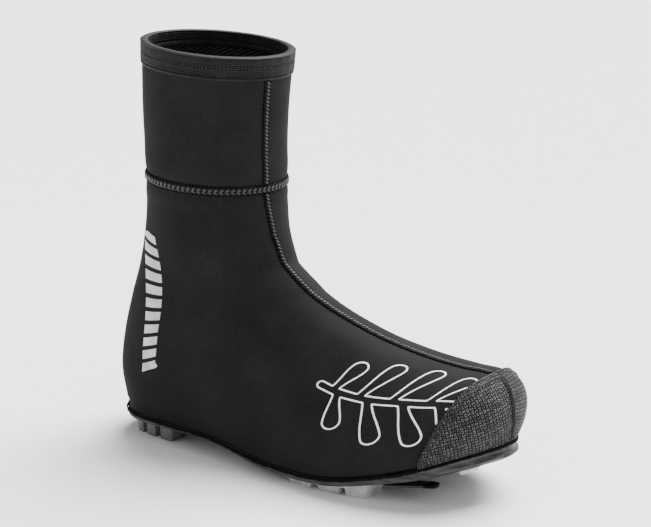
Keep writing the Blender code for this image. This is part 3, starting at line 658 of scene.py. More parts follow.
def row_on_skin(t, f, beside, out, slant):
    """Places, aims and ups for stitches beside a path on the skin, slanted off its direction."""
    ups = outward(t, f)
    points = on_skin(t, f, out)
    ahead = unit(np.gradient(points, axis=0))
    across = unit(np.cross(ups, ahead))
    points = points + across * beside
    return points, ahead * np.cos(slant) + across * np.sin(slant), ups


RING_T, RING_F = np.zeros(900), np.linspace(-1, 1, 900)
near_rim = skin(np.array([0.0, 0.1]), np.zeros(2))[0]
drop_t = np.linalg.norm(near_rim[1] - near_rim[0]) / 0.1
LOCK_STEP, LOCK_WIDTH, LOCK_HEIGHT, HOLE = 0.0022, 0.00055, 0.0004, (0.0009, 0.0008, 0.0003)
# The collar's row is in the grey thread, a painted highlight; the hem row is in plain black thread.
for name, drop, out, length, yarn in (
    ("binding_stitches", BINDING_ROW * BINDING_HEIGHT, CLEARANCE + TAPE - 0.0001, 0.0013, highlight_thread),
    ("hem_stitches", BINDING_HEIGHT + 0.0004, CLEARANCE + 0.0003, 0.0014, thread),
):
    t, f = evenly(RING_T + drop / drop_t, RING_F, LOCK_STEP)
    sewn(name, *row_on_skin(t, f, 0.0, out, 0.0), length, LOCK_WIDTH, LOCK_HEIGHT, yarn, "seam_tape")
    halfway = (t[:-1] + t[1:]) / 2, (f[:-1] + f[1:]) / 2
    sewn(name + "_holes", *row_on_skin(*halfway, 0.0, out, 0.0), *HOLE, pit, "seam_tape")

# Ankle seam
# A flat overlocked join round the shaft: black thread wound from side to side over the two edges
# of the neoprene, with a needle row on each side that pulls it in.
ANKLE_SEAM_WIDTH, FRONT_SEAM_WIDTH, SEAM_RISE = 0.0075, 0.0065, 0.0012
ANKLE_HALF = 0.34 * ANKLE_SEAM_WIDTH
SEAM_TOP = CLEARANCE + 0.75 * SEAM_RISE
# Steps from one stitch to the next, and each kind of stitch: its length, width and height
WRAP_STEP, NEEDLE_STEP, STRIP_STEP = 0.0036, 0.0024, 0.00125
ANKLE_WRAP = (0.0052, 0.0012, 0.0012)
ANKLE_LOOP = (0.0026, 0.0010, 0.0007)
ANKLE_NEEDLE = (0.0014, 0.0011, 0.0005)
FRONT_WRAP = (0.0038, 0.0011, 0.0010)
FRONT_LOOP = (0.0020, 0.0012, 0.0007)
FRONT_NEEDLE = (0.0015, 0.0011, 0.0005)

overlock = napped(
    "overlock", (0.0010, 0.0010, 0.0011), (0.0038, 0.0038, 0.0040), 0.0003, 0.9,
    fibre=2200.0, Roughness=0.6, Specular_IOR_Level=0.1,
)


def speed(t, f):
    """Length of skin for each unit of t at points t, f."""
    near = 0.02
    return np.linalg.norm(skin(t + near, f)[0] - skin(t - near, f)[0], axis=1) / (2 * near)


def seam_strip(name, t_mid, f_mid, half_t, half_f, closed, node_name):
    """A low domed strip on the skin, its middle at t_mid, f_mid and its half width half_t or half_f."""
    cross = np.linspace(-1, 1, 13)
    dome = 0.30 + 0.62 * np.sqrt(np.clip(1 - cross**2, 0, 1)) + 0.08 * np.cos(3 * np.pi * cross)
    ripple = 1 + 0.10 * np.sin(np.arange(len(t_mid)) * 1.3)[:, None]
    t = t_mid[:, None] + half_t[:, None] * cross * ripple
    f = np.clip(f_mid[:, None] + half_f[:, None] * cross * ripple, -1, 1)
    high = CLEARANCE + 0.8 * SEAM_RISE * dome * ripple
    if closed:
        t, f, high = t.T, f.T, high.T
    ids = numbering(*t.shape, closed_rows=t.shape[0] if closed else 0)
    chart = np.stack([t, f], -1)
    strip = shell(name, on_skin(t, f, high), on_skin(t, f, np.array(UNDER)), ids, chart, (overlock,))
    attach(strip, "root")
    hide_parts(node_name)


ankle_speed = speed(np.array([2.0]), np.array([-0.4]))[0]
ring = np.linspace(-1, 1, 361)
level = np.full(len(ring), float(ANKLE_ROW))
half = ANKLE_HALF / speed(level, ring)
seam_strip("ankle_join", level, ring, half, np.zeros(len(ring)), True, "ankle_seam")
t, f = evenly(RING_T + ANKLE_ROW, RING_F, WRAP_STEP)
sewn("ankle_wraps", *row_on_skin(t, f, 0.0, SEAM_TOP, 0.60), *ANKLE_WRAP, wound_thread, "seam_tape")
# The loopers are in the grey thread, a painted highlight along the seam.
for name, slant, share in (("ankle_looper_up", 0.60, -0.12), ("ankle_looper_down", -0.75, 0.14)):
    base = row_on_skin(t + share * ANKLE_SEAM_WIDTH / ankle_speed, f, 0.0, SEAM_TOP + 0.0002, slant)
    sewn(name, *base, *ANKLE_LOOP, highlight_thread, "seam_tape")
t, f = evenly(RING_T + ANKLE_ROW, RING_F, NEEDLE_STEP)
for name, side in (("ankle_needles_upper", -1), ("ankle_needles_lower", 1)):
    base = row_on_skin(t + side * 0.40 * ANKLE_SEAM_WIDTH / ankle_speed, f, 0.0, UNDER, 0.0)
    sewn(name, *base, *ANKLE_NEEDLE, pit, "seam_tape")

# Front seam
# The same join down the middle of the front: from the hem strip to the ankle seam, and on over
# the crook and the instep to the toe cap. Its lighter wound and looper threads are painted highlight.
rim_speed = speed(np.array([0.1]), np.array([0.0]))[0]
front_speed = speed(np.array([2.0]), np.array([0.0]))[0]
cap_half = 0.5 * FRONT_SEAM_WIDTH / girth_at(np.array([16.0]))
cap_start = np.interp(cap_half, CAP_SHARES, CAP_ROWS)[0]
ankle_gap = (ANKLE_HALF + CLEARANCE) / front_speed
for name, start, end in (
    ("cuff", (bottom + CLEARANCE) / rim_speed, ANKLE_ROW - ankle_gap),
    ("instep", ANKLE_ROW + ankle_gap, cap_start - 0.02),
):
    path_t = np.linspace(start, end, 700)
    path_f = np.interp(path_t, SEAM_ROWS, SEAM_SHIFT)
    t, f = evenly(path_t, path_f, STRIP_STEP)
    half = 0.31 * FRONT_SEAM_WIDTH / girth_at(t)
    seam_strip("front_join_" + name, t, f, np.zeros(len(t)), half, False, "front_seam_" + name)
    t, f = evenly(path_t, path_f, NEEDLE_STEP)
    base = row_on_skin(t, f, 0.0, SEAM_TOP, 0.95)
    sewn("front_wraps_" + name, *base, *FRONT_WRAP, wound_thread, "seam_tape")
    base = row_on_skin(t, f, -0.0002, CLEARANCE + 0.95 * SEAM_RISE, 0.30)
    sewn("front_looper_" + name, *base, *FRONT_LOOP, highlight_thread, "seam_tape")
    for end_name, side in (("_inner", 1), ("_outer", -1)):
        base = row_on_skin(t, f, side * 0.36 * FRONT_SEAM_WIDTH, UNDER, 0.0)
        sewn("front_needles_" + name + end_name, *base, *FRONT_NEEDLE, pit, "seam_tape")

# Toe cap
# A hard-wearing basket weave of flat grey and black threads over the toe, cut in two halves and
# joined down the front. Its rear edge is folded under and sewn down with two rows.
CAP_THICKNESS, CAP_HEM, CAP_HEM_RISE = 0.0010, 0.006, 0.0007
WEAVE_CELL = 0.00228


def reach(t, side, out):
    """The share of the half girth at which a point out beyond the skin is level with the lower edge."""
    t, side, out = (a.ravel().astype(float) for a in np.broadcast_arrays(t, side, out))
    level = section_at(t)["low_z"]
    near, far = np.full(t.shape, 0.5), np.ones(t.shape)
    for _ in range(12):
        middle = (near + far) / 2
        points = skin(t, side * middle)[0] + outward(t, side * middle) * out[:, None]
        above = points[:, 2] >= level
        near, far = np.where(above, middle, near), np.where(above, far, middle)
    return near


def basket_group():
    """Pairs of flat threads in square cells, turned by a quarter from each cell to the next."""
    group, ends, out = shader_group(
        "basket_weave",
        (("Vector", VECTOR, (0, 0, 0)), ("Cell", NUMBER, 0.0027)),
        (("Height", NUMBER), ("Shade", NUMBER)),
    )
    scale = sum_up(group, "DIVIDE", 1.0, ends.outputs["Cell"])
    cells = node(group, "ShaderNodeVectorMath", operation="SCALE")
    group.links.new(ends.outputs["Vector"], cells.inputs[0])
    group.links.new(scale, cells.inputs["Scale"])
    parts = node(group, "ShaderNodeSeparateXYZ")
    group.links.new(cells.outputs[0], parts.inputs[0])
    column = sum_up(group, "FLOOR", parts.outputs["X"])
    row = sum_up(group, "FLOOR", parts.outputs["Y"])
    odd = sum_up(group, "PINGPONG", sum_up(group, "ADD", column, row), 1.0)
    in_x = sum_up(group, "FRACT", parts.outputs["X"])
    in_y = sum_up(group, "FRACT", parts.outputs["Y"])
    swap = node(group, "ShaderNodeMix", data_type="FLOAT")
    across = node(group, "ShaderNodeMix", data_type="FLOAT")
    for mix, first, second in ((swap, in_x, in_y), (across, in_y, in_x)):
        group.links.new(odd, mix.inputs["Factor"])
        group.links.new(first, mix.inputs["A"])
        group.links.new(second, mix.inputs["B"])
    along_bar = sum_up(group, "SINE", sum_up(group, "MULTIPLY", swap.outputs["Result"], np.pi))
    pair = sum_up(group, "FRACT", sum_up(group, "MULTIPLY", across.outputs["Result"], 2.0))
    across_bar = sum_up(group, "SINE", sum_up(group, "MULTIPLY", pair, np.pi))
    ends_bar = sum_up(group, "POWER", sum_up(group, "MAXIMUM", along_bar, 0.0), 0.8)
    round_bar = sum_up(group, "POWER", sum_up(group, "MAXIMUM", across_bar, 0.0), 0.9)
    height = sum_up(group, "MULTIPLY", ends_bar, round_bar)
    group.links.new(height, out.inputs["Height"])
    flecks = node(group, "ShaderNodeTexWhiteNoise", noise_dimensions="2D")
    which = node(group, "ShaderNodeVectorMath", operation="FLOOR")
    group.links.new(cells.outputs[0], which.inputs[0])
    group.links.new(which.outputs[0], flecks.inputs["Vector"])
    # The shade value is the thread height times a random tone for each cell, so the colour it gives paints
    # shade into the dips between the threads and at their ends.
    tint = sum_up(group, "ADD", sum_up(group, "MULTIPLY", flecks.outputs["Value"], 0.40), 0.60)
    group.links.new(sum_up(group, "MULTIPLY", height, tint), out.inputs["Shade"])
    return group


basket = basket_group()
weave, tree, shader = blank("basket_weave", Specular_IOR_Level=0.15)
chart = node(tree, "ShaderNodeUVMap", uv_map="chart")
cells = node(tree, "ShaderNodeGroup", node_tree=basket)
cells.inputs["Cell"].default_value = WEAVE_CELL / 0.1
wobble = node(tree, "ShaderNodeTexNoise", {"Scale": 14.0, "Detail": 2.0})
shift = node(tree, "ShaderNodeVectorMath", operation="MULTIPLY_ADD")
shift.inputs[1].default_value = (0.012, 0.012, 0.0)
tree.links.new(chart.outputs["UV"], wobble.inputs["Vector"])
tree.links.new(wobble.outputs["Color"], shift.inputs[0])
tree.links.new(chart.outputs["UV"], shift.inputs[2])
tree.links.new(shift.outputs[0], cells.inputs["Vector"])
# The cap's colour: near black in the dips between threads as painted shade, up to the grey of the threads on
# their crowns, with a random tone for each cell.
colour_from(tree, shader, cells.outputs["Shade"], 0.34, (0.003, 0.003, 0.0032), 0.86, (0.120, 0.120, 0.123))
gloss_from(tree, shader, cells.outputs["Height"], 0.85, 0.42)
bump_from(tree, shader, cells.outputs["Height"], 0.0008, 1.0)

JOIN_ROWS = (16.0, 16.5, 17.2, 18.0, 18.9)
JOIN_SHIFT = (0.035, 0.0, -0.035, -0.06, -0.05)
rear = np.interp(ACROSS, CAP_SHARES, CAP_ROWS)
slope = np.linalg.norm(skin(rear + 0.05, ACROSS)[0] - skin(rear, ACROSS)[0], axis=1) / 0.05
hem = CAP_HEM / slope
bands = ((0, 0.30), (0.06, 0.75), (0.14, 1.0), (0.25, 0.92), (0.33, 1.0), (0.5, 1.06), (0.7, 0.95),
         (0.78, 0.80), (0.86, 0.98), (0.96, 0.86), (1.04, 0.10), (1.12, 0.0))
shares = np.linspace(0, 1, 46)[1:, None] ** 0.85
t = np.vstack([rear + hem * share for share, _ in bands]
              + [(rear + hem * 1.12) * (1 - shares) + TOE_END * shares])
high = np.full(t.shape, CLEARANCE + CAP_THICKNESS)
for k, (_, rise) in enumerate(bands):
    high[k] += CAP_HEM_RISE * rise
high[0] = CLEARANCE + 0.0003
high[1] -= 0.0004
f = ACROSS + np.interp(t, JOIN_ROWS, JOIN_SHIFT) * (1 - ACROSS**2)
f = f * reach(t, np.where(f < 0, -1.0, 1.0), high).reshape(t.shape)
ids = numbering(*t.shape, last_pole=True)
outer_face = on_skin(t, f, high)


def flat_chart(points, middle):
    """A flat pattern of a curved cloth, cut in two down its middle column, in tenths of a metre."""
    rows, columns = points.shape[:2]
    spots = np.arange(rows * columns).reshape(rows, columns)
    corners = np.stack([spots[:-1, :-1], spots[1:, :-1], spots[1:, 1:], spots[:-1, 1:]], -1).reshape(-1, 4)
    mesh = bpy.data.meshes.new("pattern")
    mesh.from_pydata(points.reshape(-1, 3).tolist(), [], corners.tolist())
    mesh.uv_layers.new(name="chart")
    for bit in mesh.edges:
        first, second = (v % columns for v in bit.vertices)
        bit.use_seam = first == second == middle
    cloth = added("pattern", mesh)
    bpy.context.view_layer.objects.active = cloth
    cloth.select_set(True)
    bpy.ops.object.mode_set(mode="EDIT")
    bpy.ops.mesh.select_all(action="SELECT")
    bpy.ops.uv.unwrap(method="ANGLE_BASED", margin=0.02)
    bpy.ops.object.mode_set(mode="OBJECT")
    loops = np.array([loop.vertex_index for loop in mesh.loops])
    got = np.array([d.uv for d in mesh.uv_layers["chart"].data])
    bpy.data.objects.remove(cloth)
    chart = np.zeros((rows * columns, 2))
    column = corners[:, 0] % columns
    for half in (column < middle, column >= middle):
        use = loops[np.repeat(half, 4)]
        flat = got[np.repeat(half, 4)]
        place = points.reshape(-1, 3)[use]
        quads = place.reshape(-1, 4, 3)
        solid = np.linalg.norm(np.cross(quads[:, 2] - quads[:, 0], quads[:, 3] - quads[:, 1]), axis=1).sum()
        paper = flat.reshape(-1, 4, 2)
        first, second = paper[:, 2] - paper[:, 0], paper[:, 3] - paper[:, 1]
        paper = np.abs(first[:, 0] * second[:, 1] - first[:, 1] * second[:, 0]).sum()
        chart[use] = flat * (np.sqrt(solid / paper) / 0.1)
        rim = 0 if column[half][0] < middle else columns - 1
        start, end = (chart[row * columns + rim] for row in (rows // 4, 2 * rows // 3))
        toward = unit(end - start)
        chart[use] = chart[use] @ np.array(((toward[0], -toward[1]), (toward[1], toward[0])))
    return chart.reshape(rows, columns, 2)


chart = flat_chart(outer_face[:-1], len(ACROSS) // 2)
chart = np.concatenate([chart, chart[-1:]])
cap = shell("cap", outer_face, on_skin(t, f, np.array(UNDER)), ids, chart, (weave,))
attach(cap, "root")
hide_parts("toe_cap")
for name, share in (("cap_stitches_rear", 0.20), ("cap_stitches_front", 0.80)):
    path = np.interp(f, ACROSS, rear + hem * share)
    keep = np.abs(f) < 0.93
    base = row_on_skin(path[keep], f[keep], 0.0, CLEARANCE + CAP_THICKNESS + 0.85 * CAP_HEM_RISE, 0.15)
    sewn(name, *base, 0.0017, 0.0008, 0.0007, thread, "seam_tape")
t, f = evenly(rear - 0.012, ACROSS, 0.0026)
keep = np.abs(f) < 0.95
base = row_on_skin(t[keep], f[keep], 0.0, 0.0003, 0.9)
sewn("cap_edge_stitches", *base, 0.0024, 0.0009, 0.0008, thread, "seam_tape")

# Toe join
# The two halves of the toe cap meet down the front of the toe under a flat black tape, which two
# rows of close stitches hold down.
JOIN_STEP, JOIN_HALF, JOIN_DOME = 0.0011, 0.0016, 0.0005
path_t = np.linspace(16.12, 18.93, 400)
path_f = np.interp(path_t, JOIN_ROWS, JOIN_SHIFT)
t, f = evenly(path_t, path_f, JOIN_STEP)
cross = np.linspace(-1, 1, 11)
wide = JOIN_HALF * np.interp(t, (16.1, 16.4, 18.4, 18.95), (0.8, 1, 1, 0.7))
dome = JOIN_DOME * np.sqrt(np.clip(1 - cross**2, 0.05, 1)) * np.ones((len(t), 1))
high = CLEARANCE + CAP_THICKNESS + UNDER + dome
high += np.interp(t, (16.0, 16.16, 16.5, 16.7), (CAP_HEM_RISE, CAP_HEM_RISE, 0.0002, 0))[:, None]
over_t, over_f = np.broadcast_arrays(t[:, None], f[:, None] + cross * (wide / girth_at(t))[:, None])
toe_join = shell(
    "toe_join", on_skin(over_t, over_f, high), on_skin(over_t, over_f, np.array(0.0008)),
    numbering(*over_t.shape), np.stack([over_t, over_f], -1), (overlock,),
)
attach(toe_join, "root")
t, f = evenly(path_t, path_f, 0.0018)
for name, side in (("toe_stitches_inner", 1), ("toe_stitches_outer", -1)):
    base = row_on_skin(t, f, side * 0.0015, CLEARANCE + CAP_THICKNESS + 0.0003, side * 0.6)
    sewn(name, *base, 0.0014, 0.0008, 0.0007, thread, "seam_tape")

# Sole
# A thin dished sheet of smooth black rubber. Its side rises to the edge of the upper, is a little
# wrinkled along its length, and doubles up in soft folds round the tip of the toe.
SOLE_BAND, SOLE_SHEET, SOLE_OVERHANG = 0.0055, 0.0032, 0.0010
CLEAT_LENGTH, CLEAT_WIDTH, CLEAT_CORNER, CLEAT_MIDDLE = 0.062, 0.034, 0.012, 14.2

sole_rubber, tree, shader = blank("sole_rubber", Specular_IOR_Level=0.25)
place = node(tree, "ShaderNodeTexCoord")
stretch = node(tree, "ShaderNodeMapping")
stretch.inputs["Scale"].default_value = (1.0, 1.0, 7.0)
streak = node(
    tree, "ShaderNodeTexNoise", {"Scale": 42.0, "Detail": 5.0, "Roughness": 0.62, "Distortion": 0.6},
)
tree.links.new(place.outputs["Object"], stretch.inputs["Vector"])
tree.links.new(stretch.outputs["Vector"], streak.inputs["Vector"])
grain = on_object(tree, "ShaderNodeTexNoise", {"Scale": 900.0, "Detail": 2.0})
colour_from(tree, shader, streak.outputs["Fac"], 0.32, (0.006, 0.006, 0.0063), 0.66, (0.048, 0.048, 0.050))
gloss_from(tree, shader, streak.outputs["Fac"], 0.28, 0.62)
total = sum_up(tree, "ADD", streak.outputs["Fac"], sum_up(tree, "MULTIPLY", grain.outputs["Fac"], 0.12))
bump_from(tree, shader, total, 0.0018, 0.7)


def foot_edge(t, side, out):
    """Points of the upper's lower edge in plan, pushed outward by out."""
    def plain(at):
        row = section_at(at)
        wide = row["inner_edge"] if side > 0 else row["outer_edge"]
        return np.stack([row["low_x"], row["swing"] + side * wide], 1)

    ahead = unit(plain(np.clip(t + 0.02, HEEL_END, TOE_END)) - plain(np.clip(t - 0.02, HEEL_END, TOE_END)))
    away = np.stack([-side * ahead[:, 1], side * ahead[:, 0]], 1)
    away[t < HEEL_END + 1e-6] = (-1, 0)
    away[t > TOE_END - 1e-6] = (1, 0)
    return plain(t) + away * out[:, None]


def sole_point(t, v, depth):
    """A point of the sole at section t and share v of its half width, depth below the upper's edge."""
    t, v, depth = (a.ravel().astype(float) for a in np.broadcast_arrays(t, v, depth))
    rim_out = np.full(len(t), SOLE_OVERHANG)
    outer, inner = foot_edge(t, -1, rim_out), foot_edge(t, 1, rim_out)
    middle = (outer + inner) / 2
    side = np.where((v < 0)[:, None], outer, inner)
    plan = middle + np.abs(v)[:, None] * (side - middle)
    return np.column_stack([plan, section_at(t)["low_z"] - depth])


def band_at(t):
    """Full height of the sole's side below the upper's edge."""
    return section_at(np.asarray(t, float))["band"] * SOLE_BAND


stations = np.concatenate([
    HEEL_END + 1.2 * np.linspace(0, 1, 34)[:-1] ** 2,
    np.linspace(HEEL_END + 1.2, 18.2, 150)[:-1],
    TOE_END - 0.8 * np.linspace(1, 0, 30) ** 1.7,
])
# The side of the sole from its upper to its lower lip: share of its height, and how far it stands out
LIP_SHARES = (0.0, 0.05, 0.14, 0.26, 0.38, 0.48, 0.58, 0.68, 0.78, 0.86, 0.92)
LIP_OUT = (-0.10, 0.0, 0.03, 0.0, -0.05, 0.0, 0.08, 0.14, 0.12, -0.05, -0.38)
ahead_t = np.concatenate([stations, stations[-2:0:-1]])
sides = np.concatenate([np.full(len(stations), -1), np.full(len(stations) - 2, 1)])
folded = np.clip((ahead_t - 15.8) / 2.0, 0, 1) ** 1.2
around = np.linspace(0, 1, len(ahead_t))


def rim_loop(push, drop):
    """Points all round the foot, pushed out from the upper's lower edge and dropped below it."""
    plan = np.where((sides < 0)[:, None], foot_edge(ahead_t, -1, push), foot_edge(ahead_t, 1, push))
    return PLACE + np.column_stack([plan, section_at(ahead_t)["low_z"] - drop])


def within(share, low, high):
    """1 between two shares and 0 outside, blended over the distances given with them."""
    return np.clip((share - low[0]) / low[1], 0, 1) * np.clip((high[0] - share) / high[1], 0, 1)


loops = []
for share, stand in zip(LIP_SHARES, LIP_OUT):
    wavy = (
        0.12 * np.sin(around * 260 + 9 * share) + 0.10 * np.sin(around * 97 - 14 * share)
        + 0.07 * np.sin(around * 610 + 21 * share)
    )
    fold = folded * np.sin(share * 3.3 * np.pi + 0.5 + 0.8 * np.sin(around * 21))
    push = SOLE_OVERHANG + 0.001 * stand
    push = push + 0.0008 * wavy * within(share, (0, 0.3), (1, 0.2))
    push = push + 0.0015 * fold * within(share, (0.28, 0.25), (0.98, 0.15))
    loops.append(rim_loop(push, CLEARANCE + band_at(ahead_t) * share))
body = bmesh.new()
turns = len(ahead_t)
made = [[body.verts.new(p) for p in loop] for loop in loops]
for upper_loop, lower_loop in zip(made, made[1:]):
    for k in range(turns):
        n = (k + 1) % turns
        body.faces.new((upper_loop[k], lower_loop[k], lower_loop[n], upper_loop[n]))
half_shares = np.array((0, 0.1, 0.2, 0.32, 0.45, 0.58, 0.7, 0.8, 0.88, 0.94, 1))
shares = np.concatenate([-half_shares[:0:-1], half_shares])
for loop, is_top in ((made[0], True), (made[-1], False)):
    count = len(stations)
    outer = [loop[k] for k in range(count)]
    inner = [loop[0]] + [loop[turns - k] for k in range(1, count - 1)] + [loop[count - 1]]
    grid = []
    for k in range(count):
        if k in (0, count - 1):
            grid.append([outer[k]] * len(shares))
            continue
        here = np.full(len(shares), stations[k])
        band = band_at(here)
        if is_top:
            depth = (band - SOLE_SHEET) * np.clip((1 - np.abs(shares)) / 0.12, 0, 1)
        else:
            depth = band * np.interp(np.abs(shares), (0, 0.88, 0.94, 1), (1, 1, 0.985, LIP_SHARES[-1]))
        first, last = np.array(outer[k].co), np.array(inner[k].co)
        points = sole_point(here, shares, CLEARANCE + np.maximum(depth, 0)) + PLACE
        blend = ((shares + 1) / 2)[:, None]
        points[:, :2] = (first * (1 - blend) + last * blend)[:, :2]
        middle_line = [body.verts.new(p) for p in points[1:-1]]
        grid.append([outer[k]] + middle_line + [inner[k]])
    for near_row, far_row in zip(grid, grid[1:]):
        for j in range(len(shares) - 1):
            corners = []
            for v in (near_row[j], far_row[j], far_row[j + 1], near_row[j + 1]):
                if v not in corners:
                    corners.append(v)
            if len(corners) > 2:
                body.faces.new(corners if is_top else corners[::-1])
bmesh.ops.recalc_face_normals(body, faces=body.faces)
mesh = bpy.data.meshes.new("sole_sheet")
body.to_mesh(mesh)
body.free()
sole = added("sole_sheet", mesh)
mesh.materials.append(sole_rubber)

ball = sole_point(np.array([CLEAT_MIDDLE]), np.array([0.0]), np.array([0.0]))[0] + PLACE
corners = []
for sx, sy, start in ((1, 1, 0), (-1, 1, 90), (-1, -1, 180), (1, -1, 270)):
    for turn in np.radians(np.linspace(start, start + 90, 9)):
        corners.append((
            ball[0] + sx * (CLEAT_LENGTH / 2 - CLEAT_CORNER) + CLEAT_CORNER * np.cos(turn),
            ball[1] + sy * (CLEAT_WIDTH / 2 - CLEAT_CORNER) + CLEAT_CORNER * np.sin(turn),
        ))
count = len(corners)
mesh = bpy.data.meshes.new("cleat_punch")
mesh.from_pydata(
    [(x, y, -0.01) for x, y in corners] + [(x, y, EDGE_HEIGHT + TOE_SPRING) for x, y in corners], [],
    [list(range(count))[::-1], list(range(count, 2 * count))]
    + [[n, (n + 1) % count, count + (n + 1) % count, count + n] for n in range(count)],
)
punch = added("cleat_punch", mesh)
cut = sole.modifiers.new("cleat opening", "BOOLEAN")
cut.object = punch
cut.operation = "DIFFERENCE"
graph = bpy.context.evaluated_depsgraph_get()
punched = bpy.data.meshes.new_from_object(sole.evaluated_get(graph))
sole.modifiers.remove(cut)
sole.data = punched
bpy.data.objects.remove(punch)
sole.data.shade_smooth()
sole.data.set_sharp_from_angle(angle=np.radians(48))
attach(sole, "root")
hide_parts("sole")

# Side flap
# A short tongue of the sole's rubber on the outer side, just behind the toe cap. It leaves the
# underside of the sole and runs on level while the sole curves up, and ends in a black cloth tab.
edging = napped(
    "edging", (0.0006, 0.0006, 0.0006), (0.0030, 0.0030, 0.0031), 0.0003, 0.8,
    Roughness=0.7, Specular_IOR_Level=0.06,
)
FLAP_START, FLAP_END, FLAP_WIDTH, FLAP_DROP = 15.15, 16.30, 0.27, 0.0046
FLAP_THICKNESS, TAB_THICKNESS = 0.0018, 0.0023
for name, first, last, thick, material in (
    ("side_flap", 0.0, 0.80, FLAP_THICKNESS, sole_rubber),
    ("side_flap_tab", 0.74, 1.0, TAB_THICKNESS, edging),
):
    share = np.linspace(first, last, 24)[:, None]
    t = FLAP_START + (FLAP_END - FLAP_START) * share + np.zeros((1, 9))
    v = -0.985 + FLAP_WIDTH * np.linspace(0, 1, 9) * (1 - 0.35 * share**3)
    under = CLEARANCE + band_at(t.ravel()).reshape(t.shape) + UNDER + FLAP_DROP * share**1.2
    round_off = 0.35 + 0.65 * np.sqrt(np.clip(1 - np.linspace(-1, 1, 9) ** 6, 0, 1))
    over = (FLAP_THICKNESS - thick) / 2
    high = sole_point(t, v, under + over).reshape(*t.shape, 3) + PLACE
    low = sole_point(t, v, under + over + thick * round_off).reshape(*t.shape, 3) + PLACE
    flap = shell(name, high[:, ::-1], low[:, ::-1], numbering(*t.shape), np.stack([t, v], -1), (material,))
    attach(flap, "root")

# Edge tape
# A thin black tape sewn round the foot where the upper meets the sole. It lies in small uneven
# puckers, most of all just behind the toe cap on the outer side.
EDGE_TAPE_HEIGHT, EDGE_TAPE = 0.0024, 0.0012

tape_profile = (
    (0, 0), (0, 1), (0.35, 1.02), (0.75, 0.92), (1, 0.62), (1, 0.38), (0.75, 0.08), (0.35, -0.02),
)
pucker = 0.10 * np.sin(around * 830) + 0.08 * np.sin(around * 391 + 2)
lumpy = np.exp(-(((ahead_t - 15.5) / 0.28) ** 2)) * (sides < 0)
pucker = pucker + lumpy * (0.35 * np.sin(around * 1500) + 0.35 * np.sin(around * 930 + 1) + 0.25)
loops = []
for out, drop in tape_profile:
    push = SOLE_OVERHANG + CLEARANCE + EDGE_TAPE * out * (0.80 + pucker * (out > 0))
    sunk = drop * EDGE_TAPE_HEIGHT * (0.85 + 0.5 * pucker * (drop > 0.5))
    loops.append(rim_loop(push, CLEARANCE + sunk))
tape = ring_band("edge_line", loops, edging)
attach(tape, "root")
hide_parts("edge_tape")

# Lugs
# Pale rubber blocks under the heel, the ball and the toe, moulded on thin pads. Their corners are
# rounded and their faces are scuffed and a little dusty.


def lug_material(name, dark, light):
    """Scuffed matt rubber between two greys."""
    material, tree, shader = blank(name, Specular_IOR_Level=0.4)
    scuff = on_object(tree, "ShaderNodeTexNoise", {"Scale": 160.0, "Detail": 5.0, "Roughness": 0.7})
    darker, lighter = (dark, dark, 1.03 * dark), (light, light, 1.03 * light)
    colour_from(tree, shader, scuff.outputs["Fac"], 0.35, darker, 0.65, lighter)
    gloss_from(tree, shader, scuff.outputs["Fac"], 0.35, 0.65)
    bump_from(tree, shader, scuff.outputs["Fac"], 0.0004, 0.5)
    return material


# The heel's blocks take a darker copy of the same rubber: painted shade for the shadow they sit in under the
# heel.
pale_rubber = lug_material("pale_rubber", 0.34, 0.55)
heel_shade_rubber = lug_material("heel_shade_rubber", 0.08, 0.16)
for name in ("heel_tread", "ball_tread_outer", "ball_tread_inner", "toe_tread"):
    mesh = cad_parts[name].data.copy()
    body = bmesh.new()
    body.from_mesh(mesh)
    bmesh.ops.remove_doubles(body, verts=body.verts, dist=1e-5)
    bmesh.ops.dissolve_limit(body, angle_limit=np.radians(2), verts=body.verts, edges=body.edges)
    body.to_mesh(mesh)
    body.free()
    mesh.materials.clear()
    mesh.materials.append(heel_shade_rubber if name == "heel_tread" else pale_rubber)
    lugs = added(name + "_blocks", mesh)
    soft = lugs.modifiers.new("rounding", "BEVEL")
    soft.width, soft.segments, soft.limit_method, soft.angle_limit = 0.00035, 2, "ANGLE", np.radians(25)
    mesh.shade_smooth()
    mesh.set_sharp_from_angle(angle=np.radians(40))
    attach(lugs, "root")
    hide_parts(name)

# Print
# Two prints on the neoprene. A sprig of outlined round leaves runs over the outer side of the
# forefoot, and a column of slanted blocks of pale reflective film runs up the side of the heel.
PRINT_RISE, PRINT_ROOT, STROKE = 0.00016, 0.0002, 0.00115
BAR_WIDTH, BLOCK, BLOCK_GAP, BLOCK_SLANT = 0.0180, 0.0060, 0.0030, 0.0034

white_print, tree, shader = blank("white_print", Roughness=0.55, Specular_IOR_Level=0.4)
worn = on_object(tree, "ShaderNodeTexNoise", {"Scale": 900.0, "Detail": 3.0, "Roughness": 0.7})
colour_from(tree, shader, worn.outputs["Fac"], 0.30, (0.42, 0.42, 0.43), 0.52, (0.80, 0.80, 0.81))
bump_from(tree, shader, worn.outputs["Fac"], 0.0001, 0.5)

reflective, tree, shader = blank("reflective_film", Metallic=0.35, Specular_IOR_Level=0.5)
beads = on_object(tree, "ShaderNodeTexVoronoi", {"Scale": 2600.0})
cloud = on_object(tree, "ShaderNodeTexNoise", {"Scale": 70.0, "Detail": 3.0})
colour_from(tree, shader, cloud.outputs["Fac"], 0.35, (0.27, 0.27, 0.28), 0.65, (0.44, 0.44, 0.45))
gloss_from(tree, shader, cloud.outputs["Fac"], 0.30, 0.50)
bump_from(tree, shader, beads.outputs["Distance"], 0.0001, 0.4)

CENTRE_T, CENTRE_F = 14.45, -0.44
print_walk = run_along(skin(fine, np.full(len(fine), CENTRE_F))[0])
print_start = np.interp(CENTRE_T, fine, print_walk)


def on_print(a, b):
    """Section numbers and shares of places a ahead of the print's centre and b towards the ridge."""
    t = np.interp(print_start + a, print_walk, fine)
    centre = np.interp(t, (12.0, 14.45, 16.5), (-0.36, -0.44, -0.52))
    return t, centre + b / girth_at(t)


